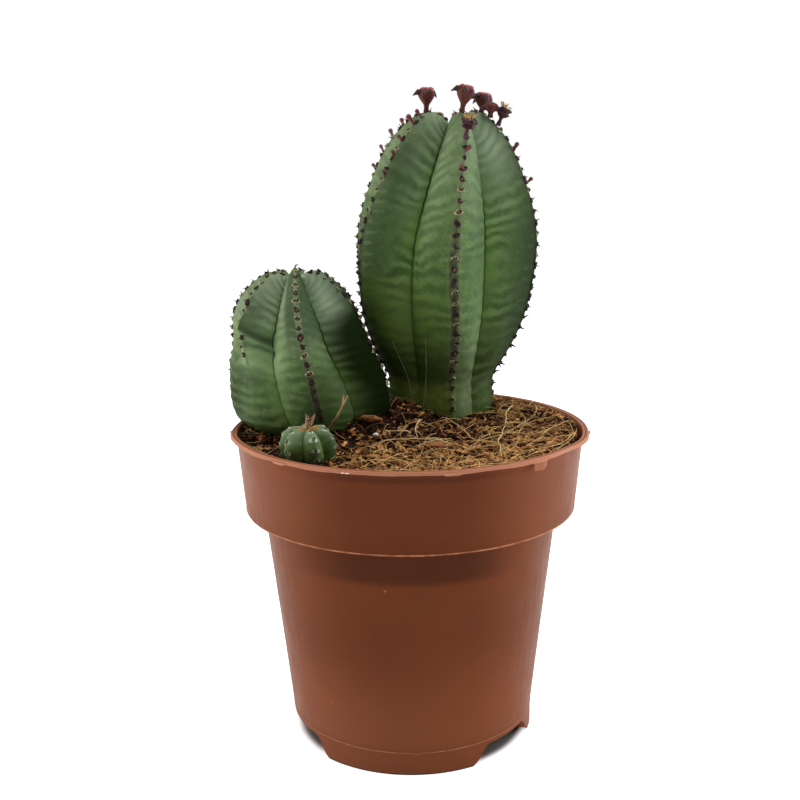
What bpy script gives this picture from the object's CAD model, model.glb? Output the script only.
"""Looks of the potted euphorbia: skins, crests, flowers, litter and pot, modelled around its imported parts.

Lengths are metres in the frame that the parts share: +Z up, the ground at zero, the front at -Y. An azimuth
is an angle about +Z that starts at the front and grows towards +X.
"""

import math
import random

import bmesh
import bpy
import numpy as np
from bpy.props import FloatProperty, FloatVectorProperty, IntProperty, PointerProperty
from mathutils import Euler, Matrix, Vector, noise
from mathutils.bvhtree import BVHTree


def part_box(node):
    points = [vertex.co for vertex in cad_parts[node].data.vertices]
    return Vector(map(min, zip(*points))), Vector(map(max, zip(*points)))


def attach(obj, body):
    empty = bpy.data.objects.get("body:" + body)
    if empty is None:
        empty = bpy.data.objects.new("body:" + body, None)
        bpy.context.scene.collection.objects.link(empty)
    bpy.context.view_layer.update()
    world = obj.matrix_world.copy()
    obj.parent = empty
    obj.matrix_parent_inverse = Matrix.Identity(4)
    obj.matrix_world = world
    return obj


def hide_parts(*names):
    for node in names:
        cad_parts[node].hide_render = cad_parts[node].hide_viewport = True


bl_info = {
    "name": "Potted Euphorbia",
    "version": (1, 0, 0),
    "blender": (4, 5, 0),
    "location": "View3D > Sidebar > Euphorbia",
    "description": "Models a ribbed succulent in its nursery pot around the packed parts",
    "category": "Add Mesh",
}

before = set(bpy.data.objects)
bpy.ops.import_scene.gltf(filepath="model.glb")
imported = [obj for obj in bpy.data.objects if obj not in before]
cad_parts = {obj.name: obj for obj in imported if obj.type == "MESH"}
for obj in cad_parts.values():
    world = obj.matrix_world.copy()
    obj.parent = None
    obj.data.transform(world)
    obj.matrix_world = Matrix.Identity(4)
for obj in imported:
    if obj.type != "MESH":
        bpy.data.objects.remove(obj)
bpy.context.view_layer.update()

MM = 0.001
FULL_TURN = 2 * math.pi
LIP_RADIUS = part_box("pot")[1].x
POT_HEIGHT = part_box("pot")[1].z
SOIL_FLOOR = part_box("soil")[0].z
SOIL_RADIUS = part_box("soil")[1].x
WHITE = (1.0, 1.0, 1.0)


def length(name, text, default, **more):
    """A length property in metres."""
    return FloatProperty(name=name, description=text, default=default, unit="LENGTH", precision=5, **more)


def colour(name, text, default):
    """A colour property."""
    return FloatVectorProperty(
        name=name, description=text, default=default, subtype="COLOR", size=3, min=0.0, max=1.0
    )


class PotSettings(bpy.types.PropertyGroup):
    """Sizes and colour of the moulded pot."""

    segments: IntProperty(name="Segments", description="Sides around the pot", default=144, min=48, max=288)
    lip_height: length("Lip height", "Height of the lip's outer face", 1.0 * MM)
    wall: length("Wall", "Thickness of the moulding", 0.9 * MM)
    collar_top: length("Collar top radius", "Radius of the collar under the lip", 58.0 * MM)
    collar_foot: length("Collar foot radius", "Radius of the collar at its lower edge", 55.8 * MM)
    collar_level: length("Collar level", "Height of the collar's lower edge", 80.0 * MM)
    body_top: length("Body top radius", "Radius of the body under the collar", 49.8 * MM)
    body_foot: length("Body foot radius", "Radius of the body at the feet", 41.9 * MM)
    foot_height: length("Foot height", "Height of the feet", 7.6 * MM)
    skirt: length("Skirt", "Height of the rim that joins the feet", 1.2 * MM)
    foot_width: length("Foot width", "Width of a foot from its outside to its inside", 7.0 * MM)
    gap_top: length("Gap at the floor", "Space between two feet at the floor", 25.8 * MM)
    gap_ground: length("Gap at the ground", "Space between two feet at the ground", 32.0 * MM)
    drain_radius: length("Drain hole radius", "Radius of a drain hole", 3.5 * MM)
    drain_circle: length("Drain circle", "Radius of the circle of drain holes", 22.0 * MM)
    lift: length("Lip lift", "How much higher the lip is at the front", 1.4 * MM)
    plastic: colour("Plastic", "Colour of the moulding", (0.150, 0.0375, 0.0095))


class StemSettings(bpy.types.PropertyGroup):
    """Shape and colours of the stems' skin."""

    fineness: IntProperty(name="Fineness", description="Columns on one flank of a rib", default=12, min=4, max=24)
    rings: IntProperty(name="Rings", description="Rings up the tall stem", default=200, min=60, max=300)
    seat_spacing: length("Seat spacing", "Distance between thorn seats along a crest", 3.75 * MM)
    band: length("Band spacing", "Distance between the light cross bands", 5.0 * MM)
    pleat: length("Pleat depth", "Depth of the cross folds of a flank", 0.09 * MM)
    scallop: length("Scallop", "How far a thorn seat stands out of its crest", 0.40 * MM)
    dark: colour("Dark bands", "Green of the dark cross bands", (0.039, 0.084, 0.019))
    light: colour("Light bands", "Green of the light cross bands", (0.116, 0.200, 0.053))
    bloom: colour("Bloom", "Waxy grey bloom near crests and tip", (0.290, 0.370, 0.230))
    lime: colour("Lime", "Yellow green along the furrows", (0.135, 0.255, 0.040))


class CrestSettings(bpy.types.PropertyGroup):
    """Thorn seats and thorns along the crests."""

    seat_width: length("Seat width", "Width of a thorn seat across its crest", 1.9 * MM)
    seat_length: length("Seat length", "Length of a thorn seat along its crest", 1.6 * MM)
    thorn: length("Thorn", "Length of a usual thorn", 1.25 * MM)
    corky: colour("Corky brown", "Colour of old thorn seats", (0.018, 0.009, 0.008))
    fresh: colour("Fresh seat", "Pink brown middle of young thorn seats", (0.240, 0.120, 0.090))


class FlowerSettings(bpy.types.PropertyGroup):
    """Flowers and buds."""

    cup: colour("Cup", "Dark red of a flower cup", (0.075, 0.012, 0.014))
    gland: colour("Gland", "Pink red of the glands and buds", (0.260, 0.032, 0.036))
    pollen: colour("Pollen", "Yellow of the stamens", (0.620, 0.430, 0.130))


class SoilSettings(bpy.types.PropertyGroup):
    """Soil surface and the loose things on it."""

    cells: IntProperty(name="Cells", description="Cells across the soil surface", default=230, min=60, max=300)
    clod: length("Clod height", "Height of the clods in the surface", 1.5 * MM)
    fibres: IntProperty(name="Fibres", description="Number of coir fibres", default=520, min=0, max=6000)
    threads: IntProperty(name="Threads", description="Number of long pale root threads", default=100, min=0, max=300)
    crumbs: IntProperty(name="Crumbs", description="Number of crumbs and shreds", default=3400, min=0, max=5000)
    crumb_dark: colour("Dark crumb", "Colour of wet peat", (0.013, 0.005, 0.0025))
    coir: colour("Coir", "Colour of dry coir", (0.430, 0.195, 0.062))
    golden: colour("Golden fibre", "Colour of the palest fibres", (0.700, 0.410, 0.130))


class StageSettings(bpy.types.PropertyGroup):
    """Camera, lights and floor."""

    distance: length("Distance", "Camera distance in front of the pot's middle", 365 * MM)
    height: length("Height", "Camera height", 197 * MM)
    lens: FloatProperty(name="Lens", description="Focal length in millimetres", default=49.95)
    heading: FloatProperty(name="Heading", description="Turn to the right", default=-0.0085, subtype="ANGLE")
    tilt: FloatProperty(name="Tilt", description="Turn upwards", default=-0.2215, subtype="ANGLE")
    roll: FloatProperty(name="Roll", description="Roll about the line of sight", default=-0.012, subtype="ANGLE")
    floor: colour("Floor", "Colour of the floor", (0.90, 0.90, 0.90))
    glow: FloatProperty(name="Glow", description="Light that the paper floor lets through", default=0.68)
    sky: FloatProperty(name="Sky", description="Strength of the light from behind", default=0.55)
    sky_front: FloatProperty(name="Sky in front", description="Strength of the light from the front", default=0.12)


# Shared helpers --------------------------------------------------------------------------------------


def deselect():
    """Leave edit mode and deselect everything."""
    if bpy.context.object and bpy.context.object.mode != "OBJECT":
        bpy.ops.object.mode_set(mode="OBJECT")
    bpy.ops.object.select_all(action="DESELECT")


def only(thing):
    """Make a thing the one selected, active object."""
    deselect()
    thing.select_set(True)
    bpy.context.view_layer.objects.active = thing
    return thing


def named(name):
    """Name the object that an operator has just added."""
    thing = bpy.context.active_object
    thing.name = name
    thing.data.name = name
    return thing


def select_faces(thing, test):
    """In edit mode, select just the faces whose centre and normal pass a test."""
    bpy.ops.object.mode_set(mode="OBJECT")
    for group in (thing.data.vertices, thing.data.edges):
        group.foreach_set("select", np.zeros(len(group), bool))
    for face in thing.data.polygons:
        face.select = test(face.center, face.normal)
    bpy.ops.object.mode_set(mode="EDIT")
    bpy.ops.mesh.select_mode(type="FACE")


def edit_all():
    """Enter edit mode with everything selected."""
    bpy.ops.object.mode_set(mode="EDIT")
    bpy.ops.mesh.select_all(action="SELECT")


def face_out():
    """Turn all faces outwards and leave edit mode."""
    bpy.ops.mesh.select_all(action="SELECT")
    bpy.ops.mesh.normals_make_consistent(inside=False)
    bpy.ops.object.mode_set(mode="OBJECT")


def widen(vert, factor):
    """Move a point out from the Z axis."""
    vert.co.x *= factor
    vert.co.y *= factor


def bounded(value):
    return min(max(value, 0.0), 1.0)


def grow_rings(outline):
    """Extrude the selected cap along an outline of (radius, height); the cap stands on its first point."""
    for (r, z), (next_r, next_z) in zip(outline, outline[1:]):
        bpy.ops.mesh.extrude_region_move(TRANSFORM_OT_translate={"value": (0, 0, next_z - z)})
        bpy.ops.transform.resize(value=(next_r / r, next_r / r, 1), center_override=(0, 0, next_z))


def turned(name, outline, sides):
    """A closed turned body, grown ring by ring from a round cap."""
    deselect()
    r, z = outline[0]
    bpy.ops.mesh.primitive_circle_add(vertices=sides, radius=r, fill_type="NGON", location=(0, 0, z))
    thing = named(name)
    bpy.ops.object.transform_apply(location=True, rotation=True, scale=True)
    edit_all()
    grow_rings(outline)
    face_out()
    return thing


def modify(thing, kind, **settings):
    """Add a modifier of a kind and apply it."""
    only(thing)
    modifier = thing.modifiers.new(kind.lower(), kind)
    for key, value in settings.items():
        setattr(modifier, key, value)
    bpy.ops.object.modifier_apply(modifier=modifier.name)


def smooth(thing, angle_deg=None):
    only(thing)
    if angle_deg is None:
        bpy.ops.object.shade_smooth()
    else:
        bpy.ops.object.shade_smooth_by_angle(angle=math.radians(angle_deg))


def joined(things, name):
    """Join things into one piece whose place is in its mesh."""
    deselect()
    for thing in things:
        thing.select_set(True)
    bpy.context.view_layer.objects.active = things[0]
    if len(things) > 1:
        bpy.ops.object.join()
    thing = named(name)
    bpy.ops.object.transform_apply(location=True, rotation=True, scale=True)
    return thing


def dress(thing, *finishes):
    """Give a piece its materials; each face keeps the number of the one it wears."""
    worn = [face.material_index for face in thing.data.polygons]
    thing.data.materials.clear()
    for finish in finishes:
        thing.data.materials.append(finish)
    thing.data.polygons.foreach_set("material_index", worn)
    return thing


def linked(name, data):
    """A new object in the scene for some data."""
    thing = bpy.data.objects.new(name, data)
    bpy.context.scene.collection.objects.link(thing)
    return thing


def copy_of(model, matrix):
    """A copy with its own mesh, placed by a matrix."""
    thing = linked(model.name, model.data.copy())
    thing.data.transform(matrix)
    return thing


def discard(*things):
    for thing in things:
        bpy.data.objects.remove(thing, do_unlink=True)


def settle(thing, slot, *nodes):
    """Fix a finished piece to the plant, with its record slot and the parts that it stands for."""
    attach(thing, "root")
    if nodes:
        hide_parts(*nodes)
    return thing


def direction(azimuth):
    """The level unit vector at an azimuth."""
    return Vector((math.sin(azimuth), -math.cos(azimuth), 0.0))


def spoke(angle, rise=0.0):
    """The level unit vector at an angle from a flower's +X, or one that rises."""
    return Vector((math.cos(angle), math.sin(angle), rise))


def up(height):
    return Vector((0.0, 0.0, height))


def frame_of(axis, origin, spin=0.0):
    """A matrix that stands a model's +Z on an axis at an origin, spun about it."""
    turn = Vector(axis).to_track_quat("Z", "Y").to_matrix().to_4x4()
    return Matrix.Translation(origin) @ turn @ Matrix.Rotation(spin, 4, "Z")


def welded(node):
    """A part's mesh with its loose triangles joined."""
    body = bmesh.new()
    body.from_mesh(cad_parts[node].data)
    bmesh.ops.remove_doubles(body, verts=body.verts, dist=0.001 * MM)
    return body


def surface_of(node):
    body = welded(node)
    tree = BVHTree.FromBMesh(body)
    body.free()
    return tree


def stands_on(node, stem):
    """Foot, axis, length and half width of a turned part that stands on a stem's surface."""
    body = welded(node)
    most = max(len(v.link_edges) for v in body.verts)
    poles = [v.co for v in body.verts if len(v.link_edges) > most - 2]
    tip = max(poles, key=lambda p: stem.find_nearest(p)[3]).copy()
    middle = sum((v.co for v in body.verts), Vector()) / len(body.verts)
    axis = (tip - middle).normalized()
    size = max((tip - v.co).dot(axis) for v in body.verts)
    wide = max(((tip - v.co) - axis * (tip - v.co).dot(axis)).length for v in body.verts)
    body.free()
    return tip - axis * size, axis, size, wide


def spine_of(node):
    """Middle line of a tube part, from one end to the other."""
    body = welded(node)

    def walk(start):
        seen = set(start)
        ring = set(start)
        rings = []
        while ring:
            rings.append(ring)
            ring = {edge.other_vert(v) for v in ring for edge in v.link_edges} - seen
            seen |= ring
        return rings

    first = min(body.verts, key=lambda v: v.co.x)
    end = min(walk([first])[-1], key=lambda v: v.co.x)
    cap = [v for v in body.verts if (v.co - end.co).length < 1.5 * MM]
    spine = [sum((v.co for v in ring), Vector()) / len(ring) for ring in walk(cap)]
    body.free()
    return spine


def spike(name, size, root, tip, bend=0.0, sides=5, cuts=2):
    """A cone along +Z with cross cuts, that bends towards +X."""
    deselect()
    bpy.ops.mesh.primitive_cone_add(vertices=sides, radius1=root, radius2=tip, depth=size, location=(0, 0, size / 2))
    thing = named(name)
    bpy.ops.object.transform_apply(location=True, rotation=True, scale=True)
    edit_all()
    for cut in range(cuts):
        bpy.ops.mesh.select_all(action="SELECT")
        bpy.ops.mesh.bisect(plane_co=(0, 0, size * (cut + 1) / (cuts + 1)), plane_no=(0, 0, 1))
    bpy.ops.object.mode_set(mode="OBJECT")
    for vert in thing.data.vertices:
        vert.co.x += bend * (vert.co.z / size) ** 2
    return thing


def strands(name, routes, thick, sides=0):
    """Thin round strands along routes of (point, share of the thickness), made one mesh."""
    curve = bpy.data.curves.new(name, "CURVE")
    curve.dimensions = "3D"
    curve.bevel_depth = thick
    curve.bevel_resolution = sides
    curve.use_fill_caps = True
    for route in routes:
        spline = curve.splines.new("POLY")
        spline.points.add(len(route) - 1)
        for target, (point, share) in zip(spline.points, route):
            target.co = (*point, 1.0)
            target.radius = share
    only(linked(name, curve))
    bpy.ops.object.convert(target="MESH")
    thing = named(name)
    edit_all()
    bpy.ops.mesh.remove_doubles(threshold=0.000002)
    face_out()
    smooth(thing, 60)
    return thing


# Materials -------------------------------------------------------------------------------------------


def operation(kind, swapped=False):
    """A method that joins a value to another with a Math node."""

    def method(self, other=0.0):
        return self.nodes.calc(kind, *((other, self) if swapped else (self, other)))

    return method


class Value:
    """A number that nodes work out; sums, products and fades of it add more nodes."""

    def __init__(self, nodes, socket):
        self.nodes = nodes
        self.socket = socket

    __add__ = operation("ADD")
    __mul__ = operation("MULTIPLY")
    __sub__ = operation("SUBTRACT")
    __rsub__ = operation("SUBTRACT", swapped=True)
    __truediv__ = operation("DIVIDE")
    __pow__ = operation("POWER")
    __abs__ = operation("ABSOLUTE")
    most = operation("MAXIMUM")
    sine = operation("SINE")
    fract = operation("FRACT")
    root = operation("SQRT")

    def fade(self, start, end, low=0.0, high=1.0):
        """A smooth step from low to high as the value goes from start to end."""
        return self.nodes.value(
            "MapRange",
            {"Value": self, "From Min": start, "From Max": end, "To Min": low, "To Max": high},
            "Result",
            interpolation_type="SMOOTHSTEP",
        )


class Nodes:
    """Adds nodes to a tree."""

    def __init__(self, tree):
        self.tree = tree

    def put(self, kind, inputs=None, **settings):
        node = self.tree.nodes.new("ShaderNode" + kind)
        for key, value in settings.items():
            setattr(node, key, value)
        for key, value in (inputs or {}).items():
            self.feed(node.inputs[key], value)
        return node

    def value(self, kind, inputs, output, **settings):
        return Value(self, self.put(kind, inputs, **settings).outputs[output])

    def feed(self, socket, value):
        value = getattr(value, "socket", value)
        if isinstance(value, bpy.types.NodeSocket):
            self.tree.links.new(value, socket)
        elif socket.type == "RGBA" and len(value) == 3:
            socket.default_value = (*value, 1.0)
        else:
            socket.default_value = value

    def calc(self, kind, a, b):
        return self.value("Math", {0: a, 1: b}, "Value", operation=kind)


class Finish(Nodes):
    """Builds one node material around its Principled shader, coat by coat."""

    def __init__(self, name, roughness=0.5, specular=0.5):
        self.material = bpy.data.materials.new(name)
        self.material.use_nodes = True
        super().__init__(self.material.node_tree)
        self.inputs = self.tree.nodes["Principled BSDF"].inputs
        self.inputs["Roughness"].default_value = roughness
        self.inputs["Specular IOR Level"].default_value = specular
        self.place = self.put("TexCoord").outputs["Object"]
        self.shade = None

    def noise(self, scale, detail=3.0, rough=0.5, stretch=(1, 1, 1), bend=0.0):
        """Noise from 0 to 1 with a scale in features per millimetre."""
        vector = self.place
        if stretch != (1, 1, 1):
            vector = self.put("Mapping", {"Vector": vector, "Scale": stretch}).outputs["Vector"]
        settings = {"Vector": vector, "Scale": scale / MM, "Detail": detail, "Roughness": rough, "Distortion": bend}
        return self.value("TexNoise", settings, "Fac")

    def value_of(self, name):
        return self.value("Attribute", {}, "Fac", attribute_name=name)

    def axis(self, letter):
        return self.value("SeparateXYZ", {0: self.place}, letter)

    def blend(self, share, first, second):
        node = self.put("Mix", data_type="RGBA")
        for key, value in (("Factor", share), (6, first), (7, second)):
            self.feed(node.inputs[key], value)
        return node.outputs[2]

    def start(self, share, first, second):
        """Begin with a blend of two colours."""
        self.shade = self.blend(share, first, second)

    def coat(self, colour, share):
        """Lay a colour over the shade so far, as strongly as a share says."""
        self.shade = self.blend(share, self.shade, colour)

    def bump(self, height, depth, strength=1.0):
        node = self.put("Bump", {"Height": height, "Distance": depth, "Strength": strength})
        self.feed(self.inputs["Normal"], node.outputs["Normal"])

    def done(self):
        """Paint the shade on, and give the finished material."""
        self.feed(self.inputs["Base Color"], self.shade)
        return self.material


def grained(name, surface, grain, spread, first, second, bump=None):
    """A material of two tones that a noise mixes, whose grain can raise the surface too."""
    finish = Finish(name, *surface)
    pattern = finish.noise(*grain)
    finish.start(pattern.fade(*spread), first, second)
    if bump:
        finish.bump(pattern, *bump)
    return finish.done()


def tinted(base, factor):
    return tuple(min(1.0, channel * factor) for channel in base)


# Stems -----------------------------------------------------------------------------------------------


def smooth_rows(rows, places):
    """Values on a smooth curve through rows, at fractional row numbers."""
    places = np.clip(np.asarray(places, float), 0, len(rows) - 1)
    i = np.minimum(places.astype(int), len(rows) - 2)
    u = (places - i).reshape(-1, *([1] * (rows.ndim - 1)))
    a = rows[np.maximum(i - 1, 0)]
    b = rows[i]
    c = rows[i + 1]
    d = rows[np.minimum(i + 2, len(rows) - 1)]
    return b + 0.5 * u * (c - a + u * (2 * a - 5 * b + 4 * c - d + u * (3 * (b - c) + d - a)))


class Stem:
    """Crest and furrow lines of a stem, read from its part.

    A turn counts the lines around the stem: even on a crest, odd in a furrow, starting at the front crest.
    """

    ridge = 0.62  # share of a flank's fall that is even, the rest gathers at the furrow
    fall = 2.6

    def __init__(self, node, spacing, seed):
        rings, self.apex = self.read_rings(node)
        self.centre = rings[:, :, :2].mean(axis=1)
        level = rings[:, :, :2] - self.centre[:, None]
        radius = np.hypot(level[..., 0], level[..., 1])
        azimuth = np.arctan2(level[..., 0], -level[..., 1])

        # the columns of the crests and furrows, from the front crest on
        girth = radius[-4]
        self.ribs = int(((girth > np.roll(girth, 1)) & (girth > np.roll(girth, -1))).sum())
        columns = len(girth)
        step = columns // self.ribs
        start = max(range(step), key=lambda j: radius[:, j::step].mean())
        front = min(range(start, columns, step), key=lambda j: abs(azimuth[len(rings) // 2, j]))
        lines = [(front + j * step // 2) % columns for j in range(2 * self.ribs)]

        # knots of azimuth, radius and height; the front crest comes again at the end
        turn = azimuth[:, lines]
        turn[:, 0] = np.unwrap(turn[:, 0])
        for j in range(1, 2 * self.ribs):
            turn[:, j] = turn[:, j - 1] + np.mod(turn[:, j] - turn[:, j - 1], FULL_TURN)
        knots = np.stack([turn, radius[:, lines], rings[:, lines, 2]], axis=-1)
        closing = knots[:, :1] + np.array([FULL_TURN, 0.0, 0.0])
        self.knots = np.concatenate([knots, closing], axis=1)
        self.rows = len(rings)
        self.fold = None

        # how many seats up its crest each place lies
        rng = random.Random(seed)
        self.places = np.linspace(0, self.rows - 1, 600)
        self.seats = []
        for rib in range(self.ribs):
            line = self.points(self.places, np.array([2.0 * rib]))[:, 0]
            steps = np.linalg.norm(np.diff(line, axis=0), axis=1)
            arc = np.concatenate([[0.0], np.cumsum(steps)])
            self.seats.append(arc / spacing + rng.random())

    @staticmethod
    def read_rings(node):
        """The part's rings of points from its rooted end up, lined up in columns, and its tip."""
        body = welded(node)
        apex = max((v for v in body.verts if len(v.link_edges) > 12), key=lambda v: v.co.z)
        seen = {apex}
        ring = {apex}
        rings = []
        while True:
            ring = {edge.other_vert(v) for v in ring for edge in v.link_edges} - seen
            if len(ring) < 12:
                break
            seen |= ring
            rings.append(np.array([v.co for v in ring]))
        tip = np.array(apex.co)
        body.free()
        columns = max(len(points) for points in rings)
        lined = []
        for points in rings[::-1]:
            level = points[:, :2] - points[:, :2].mean(axis=0)
            points = points[np.argsort(np.arctan2(level[:, 0], -level[:, 1]))]
            while len(points) < columns:
                following = np.roll(points, -1, axis=0)
                widest = int(np.argmax(np.linalg.norm(following - points, axis=1)))
                points = np.insert(points, widest + 1, (points[widest] + following[widest]) / 2, axis=0)
            if lined:
                slides = [np.roll(points, shift, axis=0) for shift in range(columns)]
                points = min(slides, key=lambda slid: np.sum((slid[:, :2] - lined[-1][:, :2]) ** 2))
            lined.append(points)
        return np.array(lined), tip

    def points(self, places, turns, push=0.0):
        """Surface points, one row for each place up the stem and one column for each turn."""
        knots = smooth_rows(self.knots, places)
        k = np.minimum(turns.astype(int), 2 * self.ribs - 1)
        u = turns - k
        even = k % 2 == 0
        before, after = knots[:, k], knots[:, k + 1]
        crest = np.where(even[:, None], before, after)
        furrow = np.where(even[:, None], after, before)
        flank = np.where(even, u, 1 - u)
        depth = self.ridge * flank + (1 - self.ridge) * flank**self.fall
        azimuth = before[..., 0] + u * (after[..., 0] - before[..., 0])
        fallen = crest + (furrow - crest) * depth[:, None]
        radius = fallen[..., 1] + push
        centre = smooth_rows(self.centre, places)[:, None]
        x = centre[..., 0] + np.sin(azimuth) * radius
        y = centre[..., 1] - np.cos(azimuth) * radius
        return np.stack([x, y, fallen[..., 2]], axis=-1)

    def alike(self, line):
        """The columns of knots that hold a line: the front crest has two."""
        line %= 2 * self.ribs
        return [line] if line else [0, 2 * self.ribs]

    def shift(self, line, column, unit, steps):
        """Add sizes to a column of a line's knots, given at levels in millimetres, from low to high."""
        levels, sizes = zip(*steps)
        for same in self.alike(line):
            self.knots[:, same, column] += np.interp(self.knots[:, same, 2] / MM, levels, sizes) * unit

    def swing(self, line, *steps):
        """Turn a crest or furrow line about the axis by angles given at levels."""
        self.shift(line, 0, 1.0, steps)

    def fill(self, line, *steps):
        """Push a line out by millimetres given at levels."""
        self.shift(line, 1, MM, steps)

    def comb(self, line, high):
        """Let a crest stand up at the tip of the stem."""
        last = self.rows - 1
        rise = np.interp(np.arange(self.rows), (last - 7, last - 4, last - 2, last - 1, last), (0, 0.35, 1, 1, 0.6))
        for same in self.alike(line):
            self.knots[:, same, 2] += rise * high

    def swell(self, azimuth_deg, reach_deg, *swells):
        """Push the surface out about an azimuth by millimetres given at levels in millimetres, from low to high."""
        levels, sizes = zip(*swells)
        away = turn_between(self.knots[..., 0], math.radians(azimuth_deg))
        weight = np.cos(np.clip(away / math.radians(reach_deg), -1, 1) * math.pi / 2) ** 2
        self.knots[..., 1] += weight * np.interp(self.knots[..., 2] / MM, levels, sizes) * MM

    def overhang(self, turns, heights):
        """How far points lie above the stem's fold, in millimetres, and how strong the fold is there.

        The fold runs from one (turn, level in millimetres) to another.
        """
        if not self.fold:
            return np.full(heights.shape, -99.0), np.zeros(heights.shape)
        (first, start), (last, end) = self.fold
        along = (turns - first) / (last - first)
        near = np.clip((0.72 - np.abs(along - 0.5)) / 0.22, 0, 1)
        return heights / MM - (start + (end - start) * along), np.broadcast_to(near, heights.shape)

    def groove(self, places, turns):
        """How deep the nearest furrow is under its crests, from 0 to 1 at 4 mm and more."""
        radius = smooth_rows(self.knots, places)[..., 1]
        k = np.minimum(turns.astype(int), 2 * self.ribs - 1)
        furrow = np.where(k % 2 == 0, k + 1, k)
        crests = (radius[:, furrow - 1] + radius[:, furrow + 1]) / 2
        return np.clip((crests - radius[:, furrow]) / (4 * MM), 0, 1)

    def ridge_at(self, places, turns):
        """How far the nearest crest stands out from its furrows, from 0 to 1 at 3 mm and more."""
        radius = smooth_rows(self.knots, places)[..., 1]
        crest = (2 * np.rint(turns / 2)).astype(int) % (2 * self.ribs)
        furrows = (radius[:, crest - 1 + 2 * self.ribs * (crest == 0)] + radius[:, crest + 1]) / 2
        return np.clip((radius[:, crest] - furrows) / (3 * MM), 0, 1)

    def seat_number(self, places, turns):
        """How many thorn seats up the nearest crest each point lies."""
        found = np.zeros((len(places), len(turns)))
        for j, turn in enumerate(turns):
            low = int(math.floor((turn + 1) / 2)) % self.ribs
            value = np.interp(places, self.places, self.seats[low])
            in_furrow = abs(turn % 2 - 1) < 1e-6
            if in_furrow:
                other = (low - 1) % self.ribs
                value = (value + np.interp(places, self.places, self.seats[other])) / 2
            found[:, j] = value
        return found

    def seats_on(self, rib, low, high):
        """Place numbers of the thorn seats on a crest, between two shares of the stem."""
        seats = self.seats[rib]
        numbers = np.arange(math.ceil(seats[0]), math.floor(seats[-1]) + 1)
        places = np.interp(numbers, seats, self.places)
        return [p for p in places if low <= p / (self.rows - 1) <= high]

    def crest_frame(self, rib, place):
        """Point, outward normal and upward tangent of a crest."""
        near = np.clip(np.array([place - 0.15, place, place + 0.15]), 0, self.rows - 1)
        low, point, high = (Vector(p[0]) for p in self.points(near, np.array([2.0 * rib])))
        tangent = (high - low).normalized()
        azimuth = float(smooth_rows(self.knots, [place])[0, 2 * rib, 0])
        out = direction(azimuth)
        normal = (out - tangent * out.dot(tangent)).normalized()
        return point, normal, tangent


def clustered(count):
    """Steps across a flank, closer together near its crest and its furrow."""
    return (1 - np.cos(np.pi * np.arange(count) / count)) / 2


def hump(away, wide):
    """A round hump from 1 in its middle to nearly 0 at twice its width away."""
    return np.exp(-((away / wide) ** 2))


def grow_skin(stem, name, fineness, rings, pleat, scallop, tip_pleat=1.0, gather=0.0):
    """Shape a ball's grid into a stem's skin and note on it where each point lies on its rib."""
    waver = 0.11 * MM
    columns = stem.ribs * 2 * fineness
    deselect()
    bpy.ops.mesh.primitive_uv_sphere_add(segments=columns, ring_count=rings, radius=1.0)
    skin = named(name)
    mesh = skin.data
    co = np.zeros(len(mesh.vertices) * 3)
    mesh.vertices.foreach_get("co", co)
    co = co.reshape(-1, 3)
    ring = np.rint(rings * (1 - np.arccos(np.clip(co[:, 2], -1, 1)) / np.pi)).astype(int)
    column = np.rint(np.arctan2(co[:, 1], co[:, 0]) / FULL_TURN * columns).astype(int) % columns

    # where each point lies: up the stem, around it and across its flank
    steps = clustered(fineness)
    turns = np.concatenate([2 * rib + np.concatenate([steps, 1 + steps]) for rib in range(stem.ribs)])
    places = np.linspace(0, stem.rows - 1, rings - 1)
    flank = 1 - np.abs(np.mod(turns, 2) - 1)
    share = (places / (stem.rows - 1))[:, None]
    seat = stem.seat_number(places, turns)
    band = seat + band_slant(share) * flank

    # folds, thorn seats and the fold of the short stem
    strength = pleat * (1 + tip_pleat * np.clip((share - 0.55) / 0.3, 0, 1))
    fold = strength * np.sin(FULL_TURN * band) * np.sin(np.pi * flank**1.4) ** 0.8
    bumps = scallop * hump(flank, 0.10) * (hump(np.mod(seat + 0.5, 1) - 0.5, 0.20) - 0.35)
    sunk = gather * flank**1.4 * np.clip(share * 1.6 - 0.1, 0, 1)
    above, strong = stem.overhang(turns, stem.points(places, turns)[..., 2])
    bulge = 1.5 * hump(above - 3.0, 2.8) - hump(above + 0.4, 1.1)
    points = stem.points(places, turns, fold + bumps - sunk + strong * bulge * MM)
    shaded = strong * hump(above - 2.6, 2.7)

    # furrows that waver
    level = points[..., :2] - smooth_rows(stem.centre, places)[:, None]
    around = level / np.linalg.norm(level, axis=-1, keepdims=True)
    phase = FULL_TURN * 0.7 * np.interp(places, stem.places, stem.seats[0])[:, None] + 1.7 * np.floor(turns / 2)
    drift = waver * flank**3 * (np.sin(phase) + 0.6 * np.sin(2.3 * phase + 1))
    points[..., 0] -= around[..., 1] * drift
    points[..., 1] += around[..., 0] * drift

    inner = (ring > 0) & (ring < rings)
    co[inner] = points[ring[inner] - 1, column[inner]]
    co[ring == 0] = points[0].mean(axis=0)
    co[ring == rings] = stem.apex
    mesh.vertices.foreach_set("co", co.ravel())
    row = np.clip(ring - 1, 0, rings - 2)
    notes = {
        "band": band,
        "seat": seat,
        "groove": stem.groove(places, turns),
        "ridge": stem.ridge_at(places, turns),
        "side": around[..., 0],
        "shaded": shaded,
        "flank": flank,
        "rise": share,
        "front": (np.minimum(turns, 2 * stem.ribs - turns) < 0.999).astype(float),
    }
    for label, grid in notes.items():
        values = np.broadcast_to(grid, band.shape)[row, column]
        mesh.attributes.new(label, "FLOAT", "POINT").data.foreach_set("value", values)
    mesh.update()
    edit_all()
    face_out()
    smooth(skin)
    return skin


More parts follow.
